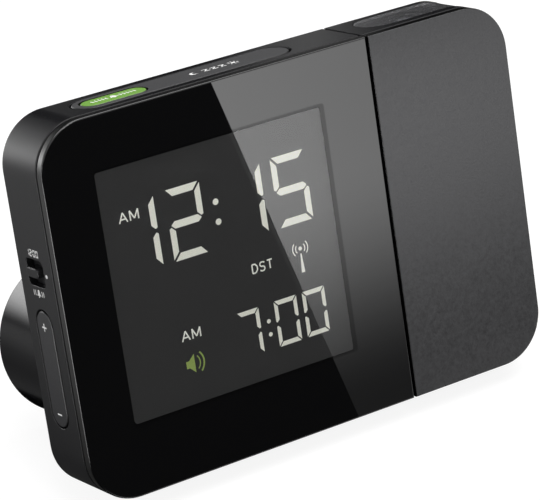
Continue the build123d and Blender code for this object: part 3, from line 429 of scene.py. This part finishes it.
# radio sign: a mast that widens downwards, a spot at its head and two waves on either side
mast_x, mast_head, mast_foot = 67.05, 46.85, 40.75
mast_gap, mast_width, mast_widening, head_radius = 1.3, 0.35, 2.9, 0.52
wave_stroke, wave_half_angle = 0.26, 42
waves = [arc((mast_x, mast_head), radius, wave_stroke, turn - wave_half_angle, turn + wave_half_angle)
         for radius in (1.35, 2.2) for turn in (0, 180)]
mast = bar((mast_x, mast_head - mast_gap), (mast_x, mast_foot), mast_width, taper=mast_widening)
film("radio_sign", [dot((mast_x, mast_head), head_radius), mast, *waves], sign_depth, sign_film, small_glow)

# sound sign: a block and a cone, with two waves to the right
horn_x, horn_z = 30.7, 27.4
block_half, cone_half, wave_centre = 0.9, 2.35, 1.6
neck_x, mouth_x = horn_x + 0.85, horn_x + 2.4
horn = [quad((horn_x, horn_z - block_half), (neck_x, horn_z - block_half),
             (horn_x, horn_z + block_half), (neck_x, horn_z + block_half)),
        quad((neck_x, horn_z - block_half), (mouth_x, horn_z - cone_half),
             (neck_x, horn_z + block_half), (mouth_x, horn_z + cone_half))]
sound = [arc((horn_x + wave_centre, horn_z), radius, width, -45, 45)
         for radius, width in ((2.3, 0.3), (3.4, 0.42))]
film("sound_sign", horn + sound, sign_depth, sign_film, green_glow)

display_dark = moulded("display_dark", (0.004, 0.004, 0.0045), 0.12, grain=2.0, depth=0.0005, spread=0.03)
dress(display_dark, "lcd_glass", "projector_slide")


# Front panel and window: the panel is moulded in gloss black, and the clear window is set flush in it and
# polished with it. Faint wiping marks show only in the gloss. The carrier behind them is dull black.
def polished(name, colour, rough, wipe, transmission=0.0, ior=1.49, gloss=0.5):
    """Polished plastic: smooth, with wiping marks that lift the roughness along long soft streaks."""
    material = bpy.data.materials.new(name)
    material.use_nodes = True
    tree = material.node_tree
    shader = tree.nodes["Principled BSDF"]
    shader.inputs["IOR"].default_value = ior
    shader.inputs["Transmission Weight"].default_value = transmission
    shader.inputs["Specular IOR Level"].default_value = gloss
    place = tree.nodes.new("ShaderNodeTexCoord")
    turn = tree.nodes.new("ShaderNodeMapping")
    turn.inputs["Rotation"].default_value = (0.0, 0.6, 0.0)
    turn.inputs["Scale"].default_value = (40.0, 40.0, 150.0)
    streak = tree.nodes.new("ShaderNodeTexNoise")
    streak.inputs["Scale"].default_value = 1.0
    streak.inputs["Detail"].default_value = 4.0
    lift = tree.nodes.new("ShaderNodeMapRange")
    lift.inputs["From Min"].default_value = 0.45
    lift.inputs["From Max"].default_value = 0.8
    lift.inputs["To Min"].default_value = rough
    lift.inputs["To Max"].default_value = rough + wipe
    tint = tree.nodes.new("ShaderNodeMix")
    tint.data_type = "RGBA"
    base = np.array(colour)
    tint.inputs["A"].default_value = (*base, 1)
    tint.inputs["B"].default_value = (*np.clip(base * 1.06, 0, 1), 1)
    join = tree.links.new
    join(place.outputs["Object"], turn.inputs["Vector"])
    join(turn.outputs["Vector"], streak.inputs["Vector"])
    join(streak.outputs["Fac"], lift.inputs["Value"])
    join(streak.outputs["Fac"], tint.inputs["Factor"])
    join(tint.outputs["Result"], shader.inputs["Base Color"])
    join(lift.outputs["Result"], shader.inputs["Roughness"])
    return material


def build_face_share():
    """Group: mask of the faces that look a given way or against it.

    The size of the normal's share along the direction is mapped to zero at the low end and one at the high.
    """
    group, entry, leave = shader_group(
        "face_share",
        [("Direction", "NodeSocketVector", None), ("Low", "NodeSocketFloat", 0.5),
         ("High", "NodeSocketFloat", 0.95)],
        [("Face", "NodeSocketFloat")],
    )
    place = group.nodes.new("ShaderNodeTexCoord")
    agree = group.nodes.new("ShaderNodeVectorMath")
    agree.operation = "DOT_PRODUCT"
    either = group.nodes.new("ShaderNodeMath")
    either.operation = "ABSOLUTE"
    cut = group.nodes.new("ShaderNodeMapRange")
    group.links.new(place.outputs["Normal"], agree.inputs[0])
    group.links.new(entry.outputs["Direction"], agree.inputs[1])
    group.links.new(agree.outputs["Value"], either.inputs[0])
    group.links.new(either.outputs[0], cut.inputs["Value"])
    group.links.new(entry.outputs["Low"], cut.inputs["From Min"])
    group.links.new(entry.outputs["High"], cut.inputs["From Max"])
    group.links.new(cut.outputs["Result"], leave.inputs["Face"])
    return group


face_share = build_face_share()


def sided(material, direction, side_colour, side_rough, low=0.5, high=0.95, smooth=True):
    """Give the sides of a piece that looks a given way their own colour and roughness.

    The sides lose the grain too where they are smooth.
    """
    tree = material.node_tree
    shader = tree.nodes["Principled BSDF"]
    face = placed(tree, face_share, Direction=tuple(direction), Low=low, High=high)
    join = tree.links.new
    side_values = (("Base Color", "RGBA", (*side_colour, 1)), ("Roughness", "FLOAT", side_rough))
    for socket, kind, value in side_values:
        part = tree.nodes.new("ShaderNodeMix")
        part.data_type = kind
        slots = [slot for slot in part.inputs if slot.enabled]
        slots[1].default_value = value
        join(face.outputs["Face"], slots[0])
        join(shader.inputs[socket].links[0].from_socket, slots[2])
        join([slot for slot in part.outputs if slot.enabled][0], shader.inputs[socket])
    for bump in [node for node in tree.nodes if smooth and node.type == "BUMP"]:
        height = tree.nodes.new("ShaderNodeMath")
        height.operation = "MULTIPLY"
        join(face.outputs["Face"], height.inputs[0])
        join(bump.inputs["Height"].links[0].from_socket, height.inputs[1])
        join(height.outputs[0], bump.inputs["Height"])
    return material


slab_front = -slab_deep
gloss_black = polished("gloss_black", (0.005, 0.005, 0.0053), 0.015, 0.03)
# the panel's sides are painted a little darker than its face: painted shade, dark as the groove beside them
sided(gloss_black, slab_front, (0.003, 0.003, 0.003), 0.34)
window_clear = polished("window_clear", (0.97, 0.98, 0.98), 0.0, 0.002, transmission=1.0)
groove_black = moulded("groove_black", (0.003, 0.003, 0.003), 0.4, grain=0.25, depth=0.005, gloss=0.12)
dress(gloss_black, "front_panel")
dress(window_clear, "display_window")
dress(groove_black, "panel_carrier")


def rounded_loop(left, right, low, high, radii, count=7):
    """Closed outline of a box: quarter circles at its corners, from the lower left one round to the left."""
    corners = [(left, low, 1, 1, 180), (right, low, -1, 1, 270),
               (right, high, -1, -1, 0), (left, high, 1, -1, 90)]
    points = []
    for (x, z, inward, upward, turn), radius in zip(corners, radii):
        angle = np.radians(turn + np.linspace(0, 90, count))
        centre = np.array([x + inward * radius, z + upward * radius])
        points.append(centre + radius * np.stack([np.cos(angle), np.sin(angle)], -1))
    points.append(points[0][:1])
    return np.concatenate(points)


# dark ring round the window, duller than the gloss beside it: painted shade along the window's edge
edge_shade_black = polished("edge_shade_black", (0.004, 0.004, 0.0042), 0.03, 0.03, gloss=0.32)
border_outer = rounded_loop(13.5, 78.65, 17.2, 81.0, (0.8, 0.8, 0.8, 0.8))
border_inner = rounded_loop(13.62, 77.3, 17.85, 80.3, (1.2, 0.5, 0.5, 0.2))
border_thick = 0.02
border = marks("window_edge_shade", [np.stack([border_outer, border_inner])], on_slab(0, 0, 0),
               slab_right, slab_up, border_thick, edge_shade_black)
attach(border, "clock_body")

# Body shell, rear cover and battery bay: one satin black moulding for the walls and one for the back, held
# by four cross-head screws. The cells lie in the cover's tray between plated contacts. Hands have polished
# the flat top a little, and the other faces keep the mould's satin.
shell_colour, top_rough, satin_rough = (0.009, 0.009, 0.01), 0.2, 0.44
housing_black = moulded("housing_black", shell_colour, top_rough, grain=0.16, depth=0.006, edge=0.3,
                        gloss=0.24)
sided(housing_black, slab_up, shell_colour, satin_rough, low=0.93, high=0.99, smooth=False)
dress(housing_black, "body_shell", "rear_cover", "battery_door")


def plated(name, colour, rough, streaks):
    """Plated or turned metal: fine streaks along one direction drift the roughness and the colour."""
    material = bpy.data.materials.new(name)
    material.use_nodes = True
    tree = material.node_tree
    shader = tree.nodes["Principled BSDF"]
    shader.inputs["Metallic"].default_value = 1.0
    place = tree.nodes.new("ShaderNodeTexCoord")
    draw = tree.nodes.new("ShaderNodeMapping")
    draw.inputs["Scale"].default_value = (streaks, streaks * 12, streaks * 12)
    streak = tree.nodes.new("ShaderNodeTexNoise")
    streak.inputs["Scale"].default_value = 1.0
    streak.inputs["Detail"].default_value = 3.0
    drift = tree.nodes.new("ShaderNodeMapRange")
    drift.inputs["To Min"].default_value = rough - 0.08
    drift.inputs["To Max"].default_value = rough + 0.08
    tint = tree.nodes.new("ShaderNodeMix")
    tint.data_type = "RGBA"
    base = np.array(colour)
    tint.inputs["A"].default_value = (*(base * 0.9), 1)
    tint.inputs["B"].default_value = (*np.clip(base * 1.08, 0, 1), 1)
    join = tree.links.new
    join(place.outputs["Object"], draw.inputs["Vector"])
    join(draw.outputs["Vector"], streak.inputs["Vector"])
    join(streak.outputs["Fac"], drift.inputs["Value"])
    join(streak.outputs["Fac"], tint.inputs["Factor"])
    join(tint.outputs["Result"], shader.inputs["Base Color"])
    join(drift.outputs["Result"], shader.inputs["Roughness"])
    return material


steel = plated("steel", (0.56, 0.56, 0.57), 0.32, 300.0)
cell_jacket = moulded("cell_jacket", (0.16, 0.17, 0.19), 0.3, grain=1.5, depth=0.002, fleck=0.05)
dress(steel, "cover_screws", "battery_contacts", "key_board_screws", "slide_switch", "sounder")
dress(cell_jacket, "battery_cells")

# Foot drum: round moulded cup on the back that the clock leans on, smoother than the shell, with a sounder
# behind its pierced cap. Rubber pads are glued under its rim and under the slab's back edge.
drum_black = moulded("drum_black", (0.005, 0.005, 0.006), 0.2, grain=0.2, depth=0.003, edge=0.8, gloss=0.24)
rubber_black = moulded("rubber_black", (0.018, 0.018, 0.018), 0.8, grain=0.4, depth=0.02, fleck=0.15)
dress(drum_black, "foot_drum", "drum_cap")
dress(rubber_black, "slab_feet", "drum_pad")

# Keys on the top: the grey snooze bar and the green alarm key in its left end, moulded pills that slide in
# the top wall. Signs are printed on them in white: a moon, a row of sleep letters and a lamp on the bar, and
# a ringing bell on the alarm key.
key_grey = moulded("key_grey", (0.058, 0.058, 0.06), 0.42, grain=0.16, depth=0.006, edge=0.2, gloss=0.25)
key_green = moulded("key_green", (0.17, 0.36, 0.06), 0.38, grain=0.2, depth=0.004, edge=0.3)
# the sides of the keys, the rocker and the arm's plate are painted near black: painted shade of the gaps and
# grooves round them
gap_shade_black, gap_rough = (0.003, 0.003, 0.003), 0.3
sided(key_grey, slab_up, gap_shade_black, gap_rough)
sided(key_green, slab_up, gap_shade_black, gap_rough)
dress(key_grey, "snooze_bar")
dress(key_green, "alarm_key")
print_white = moulded("print_white", (0.88, 0.88, 0.87), 0.5, grain=0.2, depth=0.002, fleck=0.04)
print_thick = 0.02


def printed(name, patches, corner, across, upward, body):
    """White print on a face, riding on the face's body."""
    piece = marks(name, patches, corner, across, upward, print_thick, print_white)
    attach(piece, body)
    return piece


def ringing_bell(centre, size, reach):
    """Bell sign: skirt, body, round head and clapper, between sound waves that step out to a reach."""
    x, z = centre
    skirt, waist, head = 1.35 * size, 0.72 * size, 0.58 * size
    foot, hip, shoulder = z - 0.75 * size, z - 0.2 * size, z + 0.6 * size
    shapes = [quad((x - skirt, foot), (x + skirt, foot), (x - waist, hip), (x + waist, hip)),
              quad((x - waist, hip), (x + waist, hip), (x - head, shoulder), (x + head, shoulder)),
              arc((x, shoulder), head / 2, head, 180, 0, 13), dot((x, foot - 0.3 * size), 0.28 * size)]
    for radius in np.arange(2.0 * size, reach, 0.95 * size):
        half = np.degrees(np.arcsin(0.85 * size / radius))
        shapes += [arc((x, z), radius, 0.34 * size, turn - half, turn + half) for turn in (0, 180)]
    return shapes


key_top, key_y = 94.05, 10.8

# moon: the patch between the outer arc and the arc of the bite out of its right side
moon_x, moon_radius, bite_shift, bite_radius, hair = 50.3, 1.1, 0.65, 0.95, 0.02
moon = [np.stack([arc((moon_x, 0), moon_radius, hair, 60, 300, 25)[0],
                  arc((moon_x + bite_shift, 0), bite_radius, hair, 75, 285, 25)[0]])[::-1]]

# lamp: a spot with eight rays round it
lamp_x, lamp_radius, ray_start, ray_end, ray_stroke = 61.6, 0.58, 0.9, 1.5, 0.28
turns = np.radians(np.arange(0, 360, 45))
lamp_rays = [bar((lamp_x + ray_start * c, ray_start * s), (lamp_x + ray_end * c, ray_end * s), ray_stroke)
             for c, s in zip(np.cos(turns), np.sin(turns))]
sleep_sign = lettering("ZZZ", 53.0, -0.8, 6.2, 1.6, 0.34, 0.8)
printed("snooze_print", [*moon, *sleep_sign, dot((lamp_x, 0), lamp_radius), *lamp_rays],
        on_slab(0, key_y, key_top), slab_right, slab_deep, "snooze")
printed("alarm_print", ringing_bell((27.8, 0.1), 1.0, 6.5), on_slab(0, key_y, key_top), slab_right, slab_deep,
        "alarm")

# Plus and minus rocker and mode knob on the left side: the rocker is a grey pill that tips on its pin, the
# knob a black ridge in a dark slot. Their signs are printed in white.
rocker_grey = moulded("rocker_grey", (0.021, 0.021, 0.023), 0.42, grain=0.16, depth=0.006, edge=0.6,
                      gloss=0.4)
# the rocker's sides are painted near black: painted shade of the gap round it
sided(rocker_grey, -slab_right, gap_shade_black, gap_rough)
dress(rocker_grey, "plus_minus_rocker")
rocker_face, plus_y, minus_y = -0.05, 11.4, 11.0
plus_z, minus_z, sign_half, sign_stroke = 44.3, 22.4, 1.0, 0.42
signs = [bar((-plus_y - sign_half, plus_z), (-plus_y - sign_stroke / 2, plus_z), sign_stroke),
         bar((-plus_y + sign_stroke / 2, plus_z), (-plus_y + sign_half, plus_z), sign_stroke),
         bar((-plus_y, plus_z - sign_half), (-plus_y, plus_z + sign_half), sign_stroke),
         bar((-minus_y - sign_half, minus_z), (-minus_y + sign_half, minus_z), sign_stroke)]
printed("rocker_print", signs, on_slab(rocker_face, 0, 0), slab_front, slab_up, "rocker")

dress(housing_black, "mode_knob")
hour_low, hour_high, hour_width, hour_stroke, hour_gap = 61.95, 63.75, 1.1, 0.36, 0.03
hour_boxes = [(sign, left, left + hour_width) for sign, left in zip("1200", (-13.9, -12.55, -10.9, -9.55))]
hour_sign = [patch for sign, left, right in hour_boxes
             for patch in digit(sign, left, right, hour_low, hour_high, hour_stroke, hour_gap, hour_gap)]
side_x, hour_colon_radius, mark_radius = -11.2, 0.16, 0.5
hour_sign += [dot((side_x, height), hour_colon_radius) for height in (63.2, 62.5)]
side_bell = ringing_bell((side_x, 52.85), 0.8, 2.9)
mark_dot = [dot((-5.8, 57.9), mark_radius)]
printed("side_print", hour_sign + side_bell + mark_dot, on_slab(0, 0, 0), slab_front, slab_up,
        "clock_body")

# Aerial for the time signal: a sintered ferrite rod with a coil of enamelled wire, lying in the shell's
# cradles.
ferrite = moulded("ferrite", (0.07, 0.07, 0.075), 0.6, grain=0.3, depth=0.01, fleck=0.2)
copper_wire = plated("copper_wire", (0.6, 0.28, 0.14), 0.35, 60.0)
dress(ferrite, "aerial_rod")
dress(copper_wire, "aerial_coil")

# Pivot: a hollow steel axle turns in an acetal bush in the seam wall and is held by a washer and a clip. The
# arm's four screws are of the same plated steel.
bush_acetal = moulded("bush_acetal", (0.8, 0.79, 0.75), 0.35, grain=0.5, depth=0.002)
dress(bush_acetal, "pivot_bush")
dress(steel, "pivot_axle", "pivot_washer", "pivot_clip", "arm_screws")

# Projector arm: a dark grey plate with a fine matte grain in front, its smooth sides painted near black as
# painted shade of the groove and the seam, a dull groove, and a satin black shell and cover behind it. A
# slightly hazy smoked window wraps over the corner of its top, its walls painted near black as painted shade
# of the gap round it, and the lens and the lamp stand under the window.
arm_plate_grey = moulded("arm_plate_grey", (0.04, 0.04, 0.042), 0.5, grain=0.6, depth=0.11, fleck=0.9,
                         spread=0.15, gloss=0.34)
plate_side_rough = 0.08
# the plate's sides are painted near black: painted shade, dark as the groove beside them
sided(arm_plate_grey, slab_front, gap_shade_black, plate_side_rough)
arm_groove_black = moulded("arm_groove_black", (0.006, 0.006, 0.006), 0.8, grain=0.25, depth=0.005, gloss=0.0)
window_smoked = polished("window_smoked", (0.6, 0.6, 0.62), 0.04, 0.01, transmission=0.93)
window_outward = (slab_up + slab_right) * 0.7071
# the window's walls are painted near black: painted shade of the gap round the window
window_wall_shade, window_wall_rough = (0.01, 0.01, 0.01), 0.5
sided(window_smoked, window_outward, window_wall_shade, window_wall_rough, low=0.3, high=0.6)
lens_clear = polished("lens_clear", (0.9, 0.92, 0.94), 0.05, 0.01, transmission=0.2, ior=1.52)
dress(arm_plate_grey, "arm_front_panel")
dress(arm_groove_black, "arm_carrier")
dress(housing_black, "arm_shell", "arm_back_cover")
dress(window_smoked, "arm_window")
dress(lens_clear, "projector_lens", "projector_lamp")


# Studio: a pale floor that runs into a white background, and lamps above and at the left. Cards that the
# camera doesn't see give the clock its reflections: graded ones on the table and behind it, and one in front
# that is half lit and that crosses the display with a straight edge.
def flat_sheet(name, corners, material):
    """Sheet through four corners, given in order round its edge."""
    mesh = bpy.data.meshes.new(name)
    mesh.from_pydata([tuple(corner) for corner in corners], [], [(0, 1, 2, 3)])
    mesh.materials.append(material)
    piece = bpy.data.objects.new(name, mesh)
    bpy.context.scene.collection.objects.link(piece)
    return piece


def seen_share(tree):
    """Mask of the rays that see a background: straight from the camera, by gloss or through glass."""
    path = tree.nodes.new("ShaderNodeLightPath")
    first = tree.nodes.new("ShaderNodeMath")
    first.operation = "MAXIMUM"
    second = tree.nodes.new("ShaderNodeMath")
    second.operation = "MAXIMUM"
    tree.links.new(path.outputs["Is Camera Ray"], first.inputs[0])
    tree.links.new(path.outputs["Is Glossy Ray"], first.inputs[1])
    tree.links.new(first.outputs[0], second.inputs[0])
    tree.links.new(path.outputs["Is Transmission Ray"], second.inputs[1])
    return second.outputs[0]


floor_grey, floor_glow, room_level = 0.17, 0.89, 0.4
floor_paint = bpy.data.materials.new("floor_paint")
floor_paint.use_nodes = True
tree = floor_paint.node_tree
tree.nodes["Principled BSDF"].inputs["Roughness"].default_value = 1.0
tree.nodes["Principled BSDF"].inputs["Base Color"].default_value = (floor_grey, floor_grey, floor_grey, 1)
tree.nodes["Principled BSDF"].inputs["Specular IOR Level"].default_value = 0.0
glow = tree.nodes.new("ShaderNodeEmission")
glow.inputs["Color"].default_value = (1, 1, 1, 1)
glow.inputs["Strength"].default_value = floor_glow
bare = tree.nodes.new("ShaderNodeMixShader")
whole = tree.nodes.new("ShaderNodeAddShader")
dark = tree.nodes.new("ShaderNodeEmission")
dark.inputs["Strength"].default_value = 0.0
tree.links.new(seen_share(tree), bare.inputs[0])
tree.links.new(dark.outputs[0], bare.inputs[1])
tree.links.new(glow.outputs[0], bare.inputs[2])
tree.links.new(tree.nodes["Principled BSDF"].outputs[0], whole.inputs[0])
tree.links.new(bare.outputs[0], whole.inputs[1])
tree.links.new(whole.outputs[0], tree.nodes["Material Output"].inputs["Surface"])
floor_half = 3.0
flat_sheet("floor", [(-floor_half, -floor_half, 0), (floor_half, -floor_half, 0),
                     (floor_half, floor_half, 0), (-floor_half, floor_half, 0)], floor_paint)

world = bpy.data.worlds.new("studio")
world.use_nodes = True
bpy.context.scene.world = world
tree = world.node_tree
room = tree.nodes["Background"]
room.inputs["Color"].default_value = (1, 1, 1, 1)
room.inputs["Strength"].default_value = room_level
white = tree.nodes.new("ShaderNodeBackground")
white.inputs["Color"].default_value = (1, 1, 1, 1)
white.inputs["Strength"].default_value = 1.0
choose = tree.nodes.new("ShaderNodeMixShader")
tree.links.new(seen_share(tree), choose.inputs[0])
tree.links.new(room.outputs[0], choose.inputs[1])
tree.links.new(white.outputs[0], choose.inputs[2])
tree.links.new(choose.outputs[0], tree.nodes["World Output"].inputs["Surface"])


def soft_lamp(name, place, target, width, height, power):
    """Area lamp that faces a target and that the camera doesn't see."""
    light = bpy.data.lights.new(name, "AREA")
    light.shape = "RECTANGLE"
    light.size = width
    light.size_y = height
    light.energy = power
    lamp = bpy.data.objects.new(name, light)
    aim = np.array(target) - np.array(place)
    yaw = np.arctan2(aim[0], -aim[1])
    pitch = np.arctan2(np.hypot(aim[0], aim[1]), -aim[2])
    lamp.location = place
    lamp.rotation_euler = (-pitch, 0.0, yaw)
    lamp.visible_camera = False
    bpy.context.scene.collection.objects.link(lamp)
    return lamp


clock_middle = (0, 0, 0.05)
soft_lamp("top_lamp", (0.1, -0.1, 0.9), clock_middle, width=1.0, height=0.7, power=9.0)
soft_lamp("left_lamp", (-0.9, 0.05, 0.3), clock_middle, width=0.5, height=0.5, power=2.6)

# graded cards that only gloss sees, or gloss and clear plastic: flat on the table, and upright behind
card_paint = bpy.data.materials.new("card_paint")
card_paint.use_nodes = True
tree = card_paint.node_tree
tree.nodes.remove(tree.nodes["Principled BSDF"])
lit = tree.nodes.new("ShaderNodeEmission")
shade = tree.nodes.new("ShaderNodeAttribute")
shade.attribute_name = "lit"
tree.links.new(shade.outputs["Fac"], lit.inputs["Strength"])
tree.links.new(lit.outputs[0], tree.nodes["Material Output"].inputs["Surface"])


def graded_card(name, grid, levels, seen_by=("glossy",)):
    """Sheet through a grid of points with a level of light at each, seen by some kinds of ray alone."""
    index = np.arange(levels.size).reshape(levels.shape)
    quads = np.stack([index[:-1, :-1], index[:-1, 1:], index[1:, 1:], index[1:, :-1]], -1).reshape(-1, 4)
    mesh = bpy.data.meshes.new(name)
    mesh.from_pydata(grid.reshape(-1, 3).tolist(), [], quads.tolist())
    mesh.materials.append(card_paint)
    mesh.attributes.new("lit", "FLOAT", "POINT")
    mesh.attributes["lit"].data.foreach_set("value", levels.reshape(-1).astype(np.float32))
    card = bpy.data.objects.new(name, mesh)
    bpy.context.scene.collection.objects.link(card)
    for ray in ("camera", "diffuse", "glossy", "transmission", "volume_scatter", "shadow"):
        setattr(card, f"visible_{ray}", ray in seen_by)
    return card


def ease(value, low, high):
    """Smooth step from zero at the low end to one at the high end."""
    share = np.clip((value - low) / (high - low), 0, 1)
    return share**2 * (3 - 2 * share)


table_lift, back_place, strip_place = 0.001, 0.75, 0.2
x, y = np.meshgrid(np.linspace(-1.2, -0.06, 77), np.linspace(-0.5, 1.2, 115))
table_level = 0.56 * (0.18 + 0.82 * ease(-x, 0.075, 0.125)) * ease(y, -0.05, 0.0)
table_level += 12.0 * ease(-x, 0.09, 0.16) * ease(-y, 0.03, 0.09) * ease(y, -0.5, -0.35)
graded_card("left_card", np.stack([x, y, 0 * x + table_lift], -1), table_level)
x, y = np.meshgrid(np.linspace(-0.06, 0.6, 5), np.linspace(-0.03, 1.2, 5))
graded_card("under_card", np.stack([x, y, 0 * x + table_lift], -1), 0 * x, seen_by=("glossy", "transmission"))
x, z = np.meshgrid(np.linspace(-1.5, 1.6, 125), np.linspace(0.0, 1.6, 33))
back_level = 0.01 + 0.35 * ease(x, 0.43, 0.46) * ease(-x, -0.508, -0.483)
back_level += 0.1 * ease(x, 0.27, 0.3) * ease(-x, -0.35, -0.32)
graded_card("back_card", np.stack([x, 0 * x + back_place, z], -1), back_level,
            seen_by=("glossy", "transmission"))
x, z = np.meshgrid(np.linspace(-0.24, -0.02, 23), np.linspace(0.01, 0.12, 23))
strip_level = 7.9 * ease(z, 0.02, 0.075) * ease(-z, -0.107, -0.09)
strip_level *= ease(x, -0.24, -0.2) * ease(-x, 0.02, 0.05)
graded_card("strip_card", np.stack([x, 0 * x + strip_place, z], -1), strip_level)

# card parallel to the front panel: a point of the panel shows the card's point on its mirrored sight line
camera_place = np.array([-0.37179, -0.553552, 0.404896])
card_distance = 30.0


def on_card(x, z):
    """Point of the card that the panel's point shows to the camera: its sight line mirrored in the panel."""
    spot = on_slab(x, 0, z)
    sight = spot - camera_place
    sight = sight / np.linalg.norm(sight)
    mirrored = sight - 2 * (sight @ slab_deep) * slab_deep
    return spot + mirrored * card_distance / 1000 / -(mirrored @ slab_deep)


edge_high, edge_low = (48.3, 94.0), (76.2, 0.0)
spare_x, slab_width, half_step = 60.0, 135.0, 0.05
rise = np.linspace(0, 1, 25)
edge_x = edge_low[0] + (edge_high[0] - edge_low[0]) * rise
row_z = edge_low[1] + (edge_high[1] - edge_low[1]) * rise
climb = np.clip(rise / 0.69, 0, 1)
glow_rows = 4.1 * (0.045 + 0.955 * (climb**2 * (3 - 2 * climb)) ** 1.5)
columns = [np.full_like(rise, -spare_x), edge_x - half_step, edge_x + half_step,
           np.full_like(rise, slab_width + spare_x)]
far_share = 0.45
levels = np.stack([0 * rise, 0 * rise, glow_rows, far_share * glow_rows], 1)
grid = np.stack([np.stack([on_card(x, z) for x, z in zip(column, row_z)]) for column in columns], 1)
graded_card("gloss_card", grid, levels)

# the same card as the window's inner face shows it, weakened by the display's coating
coating_share = 0.07
graded_card("inner_card", grid, coating_share * levels, seen_by=("transmission",))

# Camera: placed where the photograph was taken from, worked out from the straight edges of the slab. It is
# upright, so it turns only down and to the right.
lens = bpy.data.cameras.new("photo_camera")
lens.sensor_width = 36.0
lens.lens = 202.8
lens.clip_start = 0.05
lens.clip_end = 50.0
camera = bpy.data.objects.new("photo_camera", lens)
camera.location = camera_place
look_down, look_right = 28.51, 34.05
camera.rotation_euler = np.radians([90 - look_down, 0.0, -look_right])
bpy.context.scene.collection.objects.link(camera)
bpy.context.scene.camera = camera
bpy.context.scene.view_settings.view_transform = "Standard"
